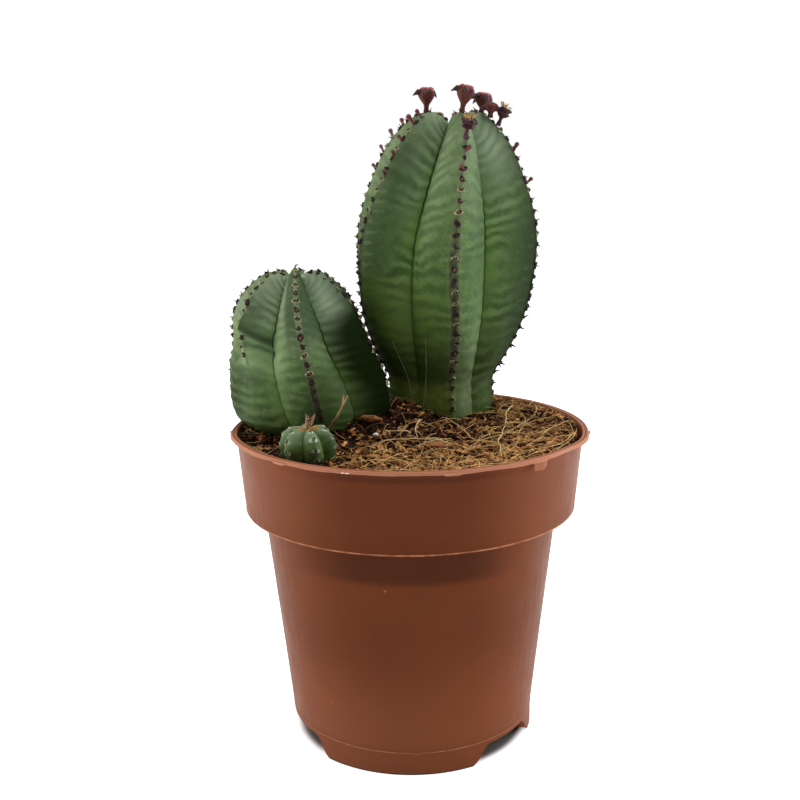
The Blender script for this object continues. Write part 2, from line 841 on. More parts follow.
def band_slant(share):
    """How many seats a cross band drops from its crest to the furrow, by share of the stem's height."""
    return 0.35 + 3.4 * np.clip((share - 0.45) / 0.5, 0, 1) ** 1.5


def skin_finish(
    name, colours, young=0.0, grey=0.0, stain=0.4, soot=0.6, soot_sides=(1.0, 1.0),
    dusk=(1.0, 1.1, 0.0, 1.0), foot=0.0, middle=0.0,
):
    """Waxy banded skin; young skin is plain and fresh, and grey skin has more bloom.

    The dark stain rises from the foot to a share of the height, and most where the two stems stand close.
    The dusk lies on the side that never gets light: it has a start and an end about the stem, a strength and a top.
    The foot is how olive the skin is where it meets the soil, in front of the middle of the stem.
    """
    skin = Finish(name, roughness=0.55, specular=0.14)
    grown = 1.0 - young
    rooted = bool(foot)
    labels = ("flank", "band", "seat", "rise", "side", "front", "groove", "ridge", "shaded")
    flank, band, seat, rise, side, front, groove, ridge, shaded = map(skin.value_of, labels)

    # cross bands and mottles
    phase = band * (colours.seat_spacing / colours.band) + skin.noise(0.085) * 2.2
    wave = (phase * FULL_TURN).sine() * skin.noise(0.06).fade(0.36, 0.64, 0.05, 1.0)
    mottle = skin.noise(0.40, 4.0, 0.7) * 0.55 + skin.noise(1.3, 3.0, 0.7) * 0.45
    skin.start((wave * 0.25 + 0.41 + (mottle - 0.5) * 1.8).fade(0.0, 1.0), colours.dark, colours.light)

    # yellow green and light next to the furrows
    lime = flank.fade(0.72, 0.98) * rise.fade(0.18, 0.50) * groove.fade(0.2, 0.7) * rise.fade(0.92, 0.70)
    lime *= skin.noise(0.12).fade(0.34, 0.62, 0.1, 0.75) * front.fade(0.0, 1.0, 1.0, 0.45)
    skin.coat(colours.lime, lime)
    sunny = flank.fade(0.50, 0.92) * wave.fade(-0.5, 0.9) * rise.fade(0.10, 0.30)
    skin.coat((0.190, 0.310, 0.085), sunny * front.fade(0.0, 1.0, 0.70 * grown, 0.25))

    # waxy bloom towards the tip
    bloom = rise.fade(0.50, 0.80, 0.0, 0.6 + grey) * skin.noise(0.16, 3.0, 0.6).fade(0.25, 0.75, 0.35, 1.0)
    skin.coat(tinted(colours.bloom, 0.90), bloom)
    gleam = flank.fade(0.22, 0.70) * flank.fade(1.0, 0.96) * front.fade(0.0, 1.0, 1.0 + 0.4 * grey, 0.45)
    gleam *= wave.fade(-0.6, 0.9) * side.fade(-0.30, -0.10, 0.5 + grey, 1.0)
    skin.coat((0.300, 0.400, 0.260), gleam * rise.fade(0.45, 0.80, 0.10, 0.60 + 0.8 * grey) * grown)
    crown = rise.fade(0.64, 0.78) * side.fade(0.45, 0.62, 0.0, 0.88 * grown) * wave.fade(-0.9, 0.6, 0.55, 1.0)
    skin.coat((0.340, 0.450, 0.290), crown)

    # flanks that face away from the light
    lee = front * side.fade(0.10 - 0.8 * grey, 0.22 - 0.8 * grey) * flank.fade(0.15 - 0.4 * grey, 0.60 - 1.6 * grey)
    lee *= rise.fade(0.36 + 0.7 * grey, 0.56 + 0.5 * grey, 0.0, (0.50 + grey) * grown) * rise.fade(1.0, 0.92)
    low_lee = front * side.fade(0.0, 0.16) * rise.fade(0.62, 0.52, 0.0, 1.4 * grey) * rise.fade(0.28, 0.36)
    skin.coat((0.020, 0.050, 0.012), lee.most(low_lee))
    west = side.fade(-0.92, -0.84) * side.fade(-0.25, -0.40) * rise.fade(0.42, 0.54)
    east = side.fade(0.50, 0.62) * rise.fade(0.62, 0.54)
    slope = west.most(east) * flank.fade(0.90, 0.25, 0.0, 0.60 * grown)
    skin.coat((0.022, 0.050, 0.014), slope * rise.fade(0.86, 0.72) * rise.fade(0.30, 0.42))
    low, high = (0.38, 0.42) if rooted else (0.58, 0.66)
    olive = rise.fade(low - 0.08, low) * rise.fade(high + 0.08, high) * side.fade(0.30 * foot, -0.30)
    olive *= wave.fade(-0.9, 0.8, 0.45, 0.95 * grown)
    skin.coat((0.115, 0.200, 0.040) if rooted else (0.200, 0.310, 0.130), olive)

    # pale patches beside the thorn seats, furrow lines and crests
    cell = (seat + 0.62).fract()
    beside = (flank / 0.36) ** 2.0 + ((cell - 0.5) / 0.26) ** 2.0 + (skin.noise(0.55, 3.0, 0.6) - 0.5) * 2.6
    patch = flank.fade(0.02, 0.10) * beside.fade(1.1, 0.35) * rise.fade(0.30, 0.55, 0.25 + 0.75 * young, 1.0)
    patch *= skin.noise(0.10).fade(0.44 - young, 0.68 - young, 0.0, 0.22 + 0.40 * young)
    skin.coat((0.580, 0.640, 0.560) if young else colours.bloom, patch)
    crease = flank.fade(0.955, 0.995) * groove.fade(0.15, 0.7) * rise.fade(0.30, 0.72, 0.45, 1.0)
    skin.coat((0.008, 0.030, 0.004), crease * (1.0 - 0.4 * young))
    worn = rise.fade(0.42, 0.14) * skin.noise(0.09, 4.0, 0.65).fade(0.46, 0.66, 0.0, 0.45 * grown)
    skin.coat((0.125, 0.145, 0.085), worn)
    edging = flank.fade(0.15, 0.05) * ridge.fade(0.15, 0.6, 0.0, 0.50 * grown) * front.fade(0.0, 1.0, 0.4, 1.0)
    skin.coat((0.190, 0.215, 0.110), edging)
    crest = flank.fade(0.12, 0.05) * rise.fade(0.66, 0.46, 0.06, 0.95) * ridge.fade(0.15, 0.6, 0.0, grown)
    skin.coat((0.018, 0.024, 0.009), crest * skin.noise(0.6).fade(0.32, 0.58, 0.35, 1.0))

    # fold, old stains and scuffs
    skin.coat((0.010, 0.026, 0.008), shaded * 0.85)
    old = rise.fade(stain, stain * (0.80 if rooted else 0.45), 0.0, soot) * rise.fade(0.18, 0.27, 0.15, 1.0)
    old *= side.fade(-0.08, 0.40 - 0.25 * soot_sides[0], *soot_sides)
    skin.coat((0.032, 0.048, 0.006), old)
    scuff = side.fade(0.06, 0.14) * side.fade(0.52, 0.40) * rise.fade(0.42, 0.30)
    scuff *= skin.noise(0.30, 4.0, 0.65).fade(0.36, 0.62, 0.1, 0.75 * grown * (1.0 - soot_sides[1]))
    skin.coat((0.165, 0.195, 0.140), scuff)

    # dusk and dark outlines
    start, end, strength, top = dusk
    past = side - rise.fade(0.64, 0.84, 0.0, 0.45) - rise.fade(0.56, 0.44, 0.0, 0.4 * grey)
    unlit = past.fade(start, end) * rise.fade(top, top - 0.22, 0.0, strength)
    right = side.fade(0.72 - 0.1 * grey, 0.96 - 0.2 * grey) * rise.fade(1.0, 0.70, 0.2, 0.78 + 0.2 * grey)
    left = side.fade(-0.74 + 0.4 * grey, -0.98 + 0.1 * grey) * rise.fade(0.80, 0.40, 0.0, 0.45 + grey)
    left *= rise.fade(0.34, 0.40, 1.0, 0.3 if rooted else 1.0)
    unlit = unlit.most(right.most(left) * (1.0 - 0.6 * young))
    skin.coat((0.005, 0.011, 0.002), unlit)
    sole = rise.fade(0.285, 0.225, 0.0, foot) * side.fade(0.08, 0.30, 1.0, 0.15)
    sole *= skin.axis("Y").fade(middle + 4 * MM, middle - 6 * MM, 0.12, 1.0)
    skin.coat(skin.blend(mottle.fade(0.35, 0.65), (0.160, 0.245, 0.032), (0.280, 0.400, 0.085)), sole)
    skin.feed(skin.inputs["Specular IOR Level"], unlit.most(old).fade(0.0, 1.0, 0.14, 0.0))
    if young:
        skin.coat((0.330, 0.160, 0.030), rise.fade(0.90, 0.98) * skin.noise(0.5, 2.0).fade(0.35, 0.6, 0.3, 0.9))
    grain = skin.noise(2.2, 3.0, 0.6)
    skin.bump(grain + wave * 0.4, 0.10 * MM, 0.7)
    skin.feed(skin.inputs["Roughness"], grain.fade(0.3, 0.7, 0.50, 0.64))
    return skin.done()


# Crests ----------------------------------------------------------------------------------------------


def model_seat(settings, number):
    """A corky thorn seat, or a wide flower scar with a pale rim; its +Z faces out, its +Y up."""
    scar = number > 1
    half = settings.seat_width / 2 * (1.22 if scar else 0.90)
    steps = ((1.10, 0, -0.35), (1, 0, 0.06), (0.80, 1, 0), (0.58, 1, 0), (0.46, 0.3, 0))
    seat = turned(f"seat_model_{number}", profile(half, 0.22 * MM, *steps), 12)
    for face in seat.data.polygons:
        far = face.center.xy.length / half
        face.material_index = 1 if far < 0.45 else 2 if scar and far > 0.76 else 0
    stretch = settings.seat_length / settings.seat_width * (0.72 if scar else 1.50)
    for vert in seat.data.vertices:
        lump = noise.noise(vert.co / (0.55 * MM) + Vector((7 * number, 2, 5)))
        vert.co.x *= 1 + 0.35 * lump
        vert.co.y *= stretch * (1 + 0.45 * lump)
        vert.co.z += 0.16 * MM * lump
    return seat


def corky_finish(name, base, spots):
    return grained(name, (0.8, 0.25), (1.6,), (0.42, 0.72), base, spots, (0.12 * MM, 0.8))


def line_crests(stem, settings, name, seed, bare=None, size=1.0, longest=1.0):
    """Put a thorn seat and its thorns on every seat of every crest of a stem.

    Bare crests have none below a share of the height. The longest thorns stand low down.
    """
    rng = random.Random(seed)
    thorn_size = settings.thorn
    lowest, highest, low_down = 0.12, 0.985, 0.42
    cork = corky_finish(name + "_cork", settings.corky, tinted(settings.corky, 2.6))
    fresh = corky_finish(name + "_fresh", settings.fresh, tinted(settings.fresh, 0.4))
    rim = corky_finish(name + "_rim", (0.230, 0.250, 0.120), (0.420, 0.430, 0.220))
    seat_models = [dress(model_seat(settings, number), cork, fresh, rim) for number in range(4)]
    bent = spike("thorn_model", thorn_size, thorn_size * 0.20, thorn_size * 0.02, thorn_size * 0.3)
    thorn_model = dress(bent, cork, fresh)
    copies = []
    for rib in range(stem.ribs):
        low = (bare or {}).get(rib, lowest)
        for count, place in enumerate(stem.seats_on(rib, low, highest)):
            point, normal, tangent = stem.crest_frame(rib, place)
            share = place / (stem.rows - 1)
            side = tangent.cross(normal).normalized()
            basis = Matrix((side, tangent, normal)).transposed().to_4x4()
            grow = size * rng.uniform(0.62, 1.15) * (1.0 if share < 0.8 else 0.8)
            tilt = Euler((rng.uniform(-0.25, 0.25), rng.uniform(-0.25, 0.25), rng.uniform(-0.7, 0.7))).to_matrix()
            stand = Matrix.Translation(point + normal * 0.12 * MM) @ basis
            scar = (count + rib) % 2 if rng.random() < 0.85 else rng.randrange(2)
            scar = scar and share < 0.9 and size > 0.7
            grow = max(grow, 0.85) if scar else grow
            model = seat_models[2 * bool(scar) + rng.randrange(2)]
            pad = copy_of(model, stand @ tilt.to_4x4() @ Matrix.Scale(grow, 4))
            if rng.random() > (0.35 + 0.65 * share if scar else 0.55 * share):
                paint_faces(pad, 0)
            copies.append(pad)
            for hand in (-1, 1):
                if rng.random() < (0.45 if scar else 0.12):
                    continue
                lean = normal * rng.uniform(0.5, 1.0) + side * hand * rng.uniform(0.35, 0.9)
                lean = lean + tangent * rng.uniform(-0.45, 0.5)
                root = point + side * hand * 0.42 * MM * size + tangent * rng.uniform(-0.5, 0.5) * MM
                reach = size * rng.uniform(0.7, 1.35) * (longest if share < low_down else 1.0)
                stand_thorn = frame_of(lean, root, rng.random() * 6)
                copies.append(copy_of(thorn_model, stand_thorn @ Matrix.Scale(reach, 4)))
    crests = joined(copies, name)
    discard(thorn_model, *seat_models)
    smooth(crests, 50)
    return crests


class EUPHORBIA_OT_stems(bpy.types.Operator):
    """Model the skins of the three stems and the thorn seats along their crests"""

    bl_idname = "euphorbia.stems"
    bl_label = "Stems"

    def execute(self, context):
        colours = context.scene.euphorbia_stem
        crest = context.scene.euphorbia_crest
        spacing = colours.seat_spacing
        tall = Stem("tall_stem", spacing, 3)
        short = Stem("short_stem", spacing * 0.79, 8)
        offset = Stem("offset_stem", spacing * 0.90, 5)
        offset.ridge = 0.35
        offset.knots[..., 0] += np.radians(np.linspace(20, 6, offset.rows))[:, None]
        short.fold = ((12, 138.8), (13, 133.5))
        short.fill(1, (111, 1.8), (119, 1.5), (128, 0.5), (134, 0.0))
        short.comb(0, 2.4 * MM)
        tall.swing(0, (125, 0.0), (142, 0.035), (165, 0.03), (188, 0.0))
        short.swing(-1, (103, 0.16), (130, -0.09), (146, -0.04), (160, 0.0))
        short.swing(1, (103, 0.0), (118, -0.06), (134, -0.12), (150, -0.06), (160, 0.0))
        short.swell(75, 40, (100, 0.8), (112, 2.1), (126, 1.2), (140, 0.3), (150, 0.0))

        skin = grow_skin(tall, "tall_skin", colours.fineness, colours.rings, colours.pleat, colours.scallop)
        middle = sum(corner.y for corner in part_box("tall_stem")) / 2
        looks = {"stain": 0.385, "soot": 0.55, "soot_sides": (1.0, 0.60), "dusk": (0.40, 0.80, 0.40, 0.50)}
        dress(skin, skin_finish("tall_skin", colours, foot=0.85, middle=middle, **looks))
        settle(skin, "stem_green", "tall_stem")
        rings = colours.rings * 3 // 4
        skin = grow_skin(short, "short_skin", colours.fineness, rings, colours.pleat * 1.5, colours.scallop, 2.0)
        looks = {"stain": 0.70, "soot": 0.50, "soot_sides": (0.05, 1.0), "dusk": (0.34, 0.78, 0.97, 1.20)}
        dress(skin, skin_finish("short_skin", colours, grey=0.30, **looks))
        settle(skin, "stem_green", "short_stem")
        skin = grow_skin(offset, "offset_skin", 10, 60, 0.05 * MM, 0.70 * MM, gather=1.3 * MM)
        dress(skin, skin_finish("offset_skin", colours, young=1.0))
        settle(skin, "young_green", "offset_stem")

        settle(line_crests(tall, crest, "tall_crests", 11, longest=1.5), "stem_green")
        self.cling(tall)
        settle(line_crests(short, crest, "short_crests", 12, bare={6: 0.58}, longest=1.3), "stem_green")
        settle(line_crests(offset, crest, "offset_crests", 13, size=0.5), "young_green")
        return {"FINISHED"}

    def cling(self, stem):
        """Pale threads that cling to the foot of the tall stem, each from (share, turn) to (share, turn)."""
        routes = []
        last = 2 * stem.ribs
        spans = (
            ((0.36, last - 1.42), (0.06, last - 1.02)),
            ((0.37, last - 0.62), (0.04, last - 0.88)),
            ((0.14, last - 1.60), (0.05, last - 1.45)),
            ((0.12, 0.35), (0.03, 0.75)),
        )
        for number, (start, end) in enumerate(spans):
            route = []
            for t in np.linspace(0, 1, 15):
                share, turn = (a + (b - a) * t for a, b in zip(start, end))
                turns = np.array([turn + 0.05 * math.sin(5 * t + number)])
                point = stem.points([share * (stem.rows - 1)], turns, 0.25 * MM)[0, 0]
                route.append((Vector(point), 0.5 + 0.8 * t))
            routes.append(route)
        threads = strands("foot_threads", routes, 0.13 * MM)
        dress(threads, fibre_finish("foot_threads", (0.420, 0.450, 0.260), (0.560, 0.540, 0.360)))
        settle(threads, "straw")


# Pot -------------------------------------------------------------------------------------------------


def pot_outline(pot):
    """The pot's half section, from the middle of the underside round the outside and lip to the floor.

    Each stretch has a radius and a level that its steps, in millimetres, start from.
    """
    under_lip = POT_HEIGHT - pot.lip_height
    rise = (pot.body_top - pot.body_foot) / (pot.collar_level - pot.foot_height)
    floor = pot.foot_height + 1.1 * MM
    inner_foot = pot.body_foot + rise * (floor - pot.foot_height) - pot.wall
    stretches = (
        (pot.body_foot - pot.foot_width, pot.foot_height, ((-0.4, 0),)),
        (pot.body_foot, pot.foot_height, ((-0.02, 0), (0.14, 0.15), (0.14, 0.35), (0.05, 0.6))),
        (pot.body_foot, pot.foot_height, ((rise * 2, 2), (rise * 30, 30))),
        (pot.body_top, pot.collar_level, ((-0.15, -2.2), (0.1, -0.4), (0.6, 0.05))),
        (pot.collar_foot, pot.collar_level, ((-0.5, -0.1), (0.05, -0.05), (0.14, 0.2), (0.14, 0.45), (0.05, 0.8))),
        (pot.collar_foot + 0.3 * (pot.collar_top - pot.collar_foot), pot.collar_level, ((0, 7),)),
        (pot.collar_top, under_lip, ((-0.1, -1.4), (0.12, -0.30), (0.50, 0))),
        (LIP_RADIUS, under_lip, ((-0.30, -0.02), (0.08, 0.10), (0.08, 0.26), (-0.10, 0.40))),
        (LIP_RADIUS, POT_HEIGHT, ((-0.06, -0.38), (-0.20, -0.12), (-0.60, 0))),
        (pot.collar_top, POT_HEIGHT, ((0.35, -0.02), (0.05, -0.15), (-0.12, -0.6), (-0.35, -1.6))),
        (pot.collar_top - pot.wall, POT_HEIGHT, ((-0.1, -3.0),)),
        (pot.collar_foot - pot.wall, pot.collar_level + pot.wall, ((0, 0),)),
        (pot.body_top - pot.wall, pot.collar_level + pot.wall, ((0, 0.2),)),
        (inner_foot, floor, ((0, 1.0), (-1.0, 0))),
    )
    return [(radius + out * MM, level + up * MM) for radius, level, steps in stretches for out, up in steps]


def azimuth_of(point):
    return math.atan2(point.x, -point.y)


def turn_between(a, b):
    """Signed turn from azimuth b to azimuth a."""
    return (a - b + math.pi) % FULL_TURN - math.pi


def add_feet(shell, pot):
    """Extrude three feet from the underside's rim and slope their ends in towards the ground."""
    middle = pot.body_foot - pot.foot_width / 2
    top = pot.foot_height - pot.skirt
    top_half = math.pi / 3 - math.asin(pot.gap_top / 2 / middle)
    ground_half = math.pi / 3 - math.asin(pot.gap_ground / 2 / middle)
    centres = [math.radians(a) for a in (-8, 112, 232)]

    def on_the_rim(centre, normal, level=pot.foot_height):
        at_level = normal.z < -0.9 and centre.z < level + 0.01 * MM
        return at_level and centre.xy.length > middle - pot.foot_width / 3

    def under_a_foot(centre, normal):
        turns = [turn_between(azimuth_of(centre), c) for c in centres]
        longer = 0 < turns[0] < top_half + math.radians(5) or 0 < -turns[1] < top_half + math.radians(9)
        near = longer or any(abs(turn) < top_half + math.radians(1.2) for turn in turns)
        return near and on_the_rim(centre, normal, top)

    select_faces(shell, on_the_rim)
    bpy.ops.mesh.extrude_region_move(TRANSFORM_OT_translate={"value": (0, 0, -pot.skirt)})
    select_faces(shell, under_a_foot)
    for drop in (0.5, 0.8, 1.2, 2.0, 1.0, 0.5, pot.foot_height / MM - 6.0 - pot.skirt / MM):
        bpy.ops.mesh.extrude_region_move(TRANSFORM_OT_translate={"value": (0, 0, -drop * MM)})
    bpy.ops.object.mode_set(mode="OBJECT")
    for vert in shell.data.vertices:
        if vert.co.z < top - 0.1 * MM:
            azimuth = azimuth_of(vert.co)
            centre = min(centres, key=lambda c: abs(turn_between(azimuth, c)))
            down = 1 - vert.co.z / top
            shrink = 1 + (ground_half / top_half - 1) * down
            shrink -= 0.045 * min(down / 0.35, 1.0) ** 0.5 + 0.035 * max(down - 0.8, 0.0) / 0.2
            turned_to = centre + turn_between(azimuth, centre) * shrink
            vert.co.xy = (direction(turned_to) * vert.co.xy.length).xy


def drill_drains(shell, pot):
    """Cut the drain holes: one in the middle of the floor and six on a circle about it."""
    for number in range(7):
        deselect()
        spot = direction(math.radians(22 + number * 60)) * (pot.drain_circle if number else 0.0)
        spot.z = pot.foot_height
        bpy.ops.mesh.primitive_cylinder_add(vertices=24, radius=pot.drain_radius, depth=6 * MM, location=spot)
        drill = named("drill")
        modify(shell, "BOOLEAN", object=drill, operation="DIFFERENCE", solver="EXACT")
        discard(drill)


def roughen_lip(shell, pot):
    """Let the seam under the lip wander in and out as moulding flash does."""
    seam = POT_HEIGHT - pot.lip_height
    for vert in shell.data.vertices:
        if vert.co.xy.length > LIP_RADIUS - 0.2 * MM and vert.co.z < seam + 0.5 * MM:
            azimuth = azimuth_of(vert.co)
            flash = noise.noise((math.sin(azimuth) * 4, math.cos(azimuth) * 4, 0.3))
            fine = noise.noise((math.sin(azimuth) * 19, math.cos(azimuth) * 19, 2.1))
            out = max(0.0, 0.12 + 0.35 * flash + 0.2 * fine) * MM
            widen(vert, 1 + out / LIP_RADIUS)
            vert.co.z -= 0.5 * out


def lift_front(thing, pot):
    """Let the thin lip rise a little towards the front, and note the level that each point had before."""
    levels = [vert.co.z for vert in thing.data.vertices]
    thing.data.attributes.new("level", "FLOAT", "POINT").data.foreach_set("value", levels)
    for vert in thing.data.vertices:
        share = (vert.co.z - pot.collar_level) / (POT_HEIGHT - pot.collar_level)
        if share > 0:
            facing = bounded((math.cos(azimuth_of(vert.co) + 0.14) - 0.08) / 0.45)
            vert.co.z += pot.lift * share**2 * facing * facing * (3 - 2 * facing)


def plastic_finish(name, base, pot):
    """Satin moulded plastic with faint streaks, scuffs and dust, grimy under its edges."""
    plastic = Finish(name, roughness=0.45, specular=0.06)
    height = plastic.value_of("level")
    x, y = plastic.axis("X"), plastic.axis("Y")
    across = abs(x)
    far = (x**2.0 + y**2.0).root()
    collar = pot.collar_level
    cloud = plastic.noise(0.03)
    wear = plastic.noise(0.25).fade(0.35, 0.60, 0.35, 1.0)

    def zone(low, high, soft=0.15 * MM):
        return height.fade(low - soft, low) * height.fade(high + soft, high)

    def under_top(start, end, *levels):
        """A fade between two depths under the pot's top, in millimetres."""
        return height.fade(POT_HEIGHT - start * MM, POT_HEIGHT - end * MM, *levels)

    # daylight low down at the left and on the collar's sides, dirt on the collar and under it
    plastic.start(cloud.fade(0.3, 0.7), tinted(base, 0.92), tinted(base, 1.08))
    on_collar = zone(collar, POT_HEIGHT - 1.2 * MM)
    lit = height.fade(52 * MM, 4 * MM, 0.0, 0.75) * x.fade(30 * MM, -34 * MM, 0.35, 1.0)
    plastic.coat((0.210, 0.066, 0.030), lit + on_collar * across.fade(14 * MM, 44 * MM, 0.10, 0.45))
    grime = height.fade(collar + 2 * MM, POT_HEIGHT - 3 * MM, 0.22, 0.28) * on_collar
    grime += zone(POT_HEIGHT - 3.2 * MM, POT_HEIGHT - 1.3 * MM, 1.2 * MM) * 0.22
    hood = height.fade(collar - 14 * MM, collar - 10.5 * MM, 0.0, 0.40) + height.fade(14 * MM, 48 * MM, 0.0, 0.22)
    grime += hood * zone(0.0, collar - 0.2 * MM)
    plastic.coat((0.012, 0.0012, 0.0002), grime * across.fade(42 * MM, 16 * MM) * y.fade(30 * MM, 5 * MM, 0.3, 1.0))
    plastic.coat((0.010, 0.003, 0.001), zone(-1 * MM, 0.25 * MM) * 0.85)

    # worn edges: the collar's foot, the seam over the feet with its mark, the lip and its hollow
    plastic.coat((0.400, 0.150, 0.075), zone(collar, collar + 0.40 * MM) * wear)
    mark = (1.0 - abs(x - 1.3 * MM) / (1.3 * MM)).most()
    seam = abs(height + mark * (0.6 * MM) - (pot.foot_height + 0.25 * MM))
    seam = seam.fade(0.24 * MM, 0.10 * MM) * mark.fade(0.0, 0.3, 0.55, 0.9)
    plastic.coat((0.480, 0.230, 0.140), seam * wear)
    plastic.coat((0.470, 0.200, 0.120), under_top(1.25, 1.05, 0.0, 0.92))
    hollow = far.fade(58.5 * MM, 58.8 * MM) * far.fade(59.65 * MM, 59.4 * MM)
    plastic.coat(tinted(base, 1.3), hollow * under_top(0.5, 0.2, 0.0, 0.75))
    within = (far - height * 0.0859).fade(48.72 * MM, 48.60 * MM) * height.fade(collar, POT_HEIGHT - 4 * MM)
    plastic.coat(tinted(base, 1.9), within * under_top(0.3, 0.6))
    chip = abs(x + 18.7 * MM).fade(1.4 * MM, 0.9 * MM) * zone(POT_HEIGHT - 1.3 * MM, POT_HEIGHT - 0.75 * MM)
    chip *= y.fade(-40 * MM, -45 * MM) * plastic.noise(1.4, 2.0).fade(0.40, 0.52)
    plastic.coat((0.900, 0.820, 0.740), chip)

    dots = plastic.value("TexVoronoi", {"Vector": plastic.place, "Scale": 0.11 / MM}, "Distance")
    plastic.coat((0.45, 0.25, 0.18), dots.fade(0.055, 0.02) * cloud.fade(0.52, 0.62, 0.0, 0.4))
    scuffs = plastic.noise(0.35, 4.0, 0.6, stretch=(1, 1, 0.25))
    plastic.feed(plastic.inputs["Roughness"], scuffs.fade(0.3, 0.75, 0.38, 0.52))
    plastic.bump(plastic.noise(0.9, 2.0), 0.02 * MM, 0.5)
    return plastic.done()


def flash_tab(number, azimuth_deg, width, drop, out, pot):
    """A thin tab of flash that hangs from the lip."""
    deselect()
    bpy.ops.mesh.primitive_cube_add(size=1)
    tab = named(f"flash_{number}")
    tab.scale = (width, 0.45 * MM, drop)
    bpy.ops.object.transform_apply(scale=True, location=False, rotation=False)
    edit_all()
    bpy.ops.mesh.subdivide(number_cuts=5)
    bpy.ops.object.mode_set(mode="OBJECT")
    modify(tab, "BEVEL", width=0.12 * MM, segments=2, limit_method="ANGLE")
    centre = math.radians(azimuth_deg)
    top = POT_HEIGHT - pot.lip_height + 0.3 * MM
    for vert in tab.data.vertices:
        along = vert.co.x / LIP_RADIUS
        down = 0.5 - vert.co.z / drop
        corner = (abs(vert.co.x) / (width / 2)) ** 5 * down
        radius = LIP_RADIUS + out - 0.5 * MM * down + vert.co.y + 0.1 * MM
        wave = 0.1 * MM * math.sin(9 * along * LIP_RADIUS / width)
        spot = direction(centre + along) * (radius + wave * down)
        vert.co = spot + up(top - drop * down + corner * min(drop, width) * 0.3)
    smooth(tab, 40)
    return tab


class EUPHORBIA_OT_pot(bpy.types.Operator):
    """Model the moulded nursery pot with its collar, lip, feet, drain holes and moulding flash"""

    bl_idname = "euphorbia.pot"
    bl_label = "Pot"

    def execute(self, context):
        pot = context.scene.euphorbia_pot
        shell = turned("pot_shell", pot_outline(pot), pot.segments)
        add_feet(shell, pot)
        drill_drains(shell, pot)
        roughen_lip(shell, pot)
        lift_front(shell, pot)
        smooth(shell, 40)
        dress(shell, plastic_finish("pot_plastic", pot.plastic, pot))
        settle(shell, "terracotta_plastic", "pot")

        # azimuth in degrees; width, drop and distance out in millimetres
        sizes = (
            (40.6, 5.7, 2.9, 0.15),
            (84.0, 1.5, 1.6, 0.25),
            (-88.0, 1.5, 1.6, 0.30),
            (12.0, 5.2, 0.9, 0.10),
            (-41.0, 4.6, 0.8, 0.10),
            (33.5, 8.0, 0.6, 0.05),
        )
        tabs = [
            flash_tab(number, azimuth, width * MM, drop * MM, out * MM, pot)
            for number, (azimuth, width, drop, out) in enumerate(sizes, 1)
        ]
        flash = joined(tabs, "lip_flash")
        lift_front(flash, pot)
        dress(flash, plastic_finish("flash_plastic", (0.360, 0.130, 0.070), pot))
        settle(flash, "terracotta_plastic")
        return {"FINISHED"}


# Flowers ---------------------------------------------------------------------------------------------


def profile(wide, high, *steps):
    """An outline from (share of the width, share of the height, millimetres above that)."""
    return [(wide * out, high * level + more * MM) for out, level, more in steps]


def ball(name, columns, rows, place, scale, turn):
    """A ball stretched to a size at a place."""
    deselect()
    bpy.ops.mesh.primitive_uv_sphere_add(segments=columns, ring_count=rows, radius=1.0, location=place, rotation=turn)
    thing = named(name)
    thing.scale = scale
    bpy.ops.object.transform_apply(location=True, rotation=True, scale=True)
    return thing


def paint_faces(thing, index):
    for face in thing.data.polygons:
        face.material_index = index
    return thing


def open_cup(name, high, wide, rng, finishes, closed=False):
    """A flower cup on its stalk, with its ring of glands and drooping dark lobes."""
    stalk = ((1.35, 0, -0.5), (1.45, 0, 0.2), (1.20, 0.14, 0), (1.45, 0.28, 0))
    bowl = ((0.62, 0.42, 0), (0.88, 0.57, 0), (1, 1, -2.6), (1, 1, -1.8), (0.90, 1, -1.0), (0.72, 1, -0.45))
    mouth = ((0.30, 1, 0), (0.12, 1, 0.1)) if closed else ((0.40, 1, -0.20), (0.25, 1, 0.05), (0.10, 1, 0.15))
    outline = profile(0.68 * MM, high, *stalk) + profile(wide, high, *bowl, (0.52, 1, -0.25), *mouth)
    cup = turned(name, outline, 30)
    for vert in cup.data.vertices:
        azimuth = math.atan2(vert.co.y, vert.co.x)
        share = bounded((vert.co.z / high - 0.3) / 0.3)
        widen(vert, 1 + share * (0.055 * math.cos(5 * azimuth) + 0.02 * math.sin(3 * azimuth + wide / MM)))
    pieces = [paint_faces(cup, 0)]
    for number in range(5):
        azimuth = FULL_TURN * (number + 0.3 * rng.random()) / 5
        out = spoke(azimuth)
        if not closed:
            spot = out * wide * 0.60 + up(high - 0.45 * MM + rng.uniform(-0.1, 0.1) * MM)
            gland = ball("gland", 10, 6, spot, (wide * 0.36, wide * 0.50, wide * 0.22), (0, 0.45, azimuth))
            pieces.append(paint_faces(gland, 1))
        if number == 3 or closed and number % 2:
            continue
        lobe = spike("lobe", wide * 1.05, wide * 0.50, wide * 0.04, wide * 0.38, sides=8)
        for vert in lobe.data.vertices:
            vert.co.x *= 0.45 if vert.co.z < wide * 0.3 else 1.0
        root = out * wide * 0.78 + up(high - (1.75 if closed else 1.15) * MM)
        lean = out + up(-0.45 + 0.4 * rng.random())
        stand = lean.to_track_quat("Z", "X").to_matrix().to_4x4()
        drooped = stand @ Matrix.Rotation(math.pi if (stand @ Vector((1, 0, 0))).z > 0 else 0.0, 4, "Z")
        lobe.data.transform(Matrix.Translation(root) @ drooped)
        pieces.append(paint_faces(lobe, 2))
    return joined([dress(piece, *finishes) for piece in pieces], name)


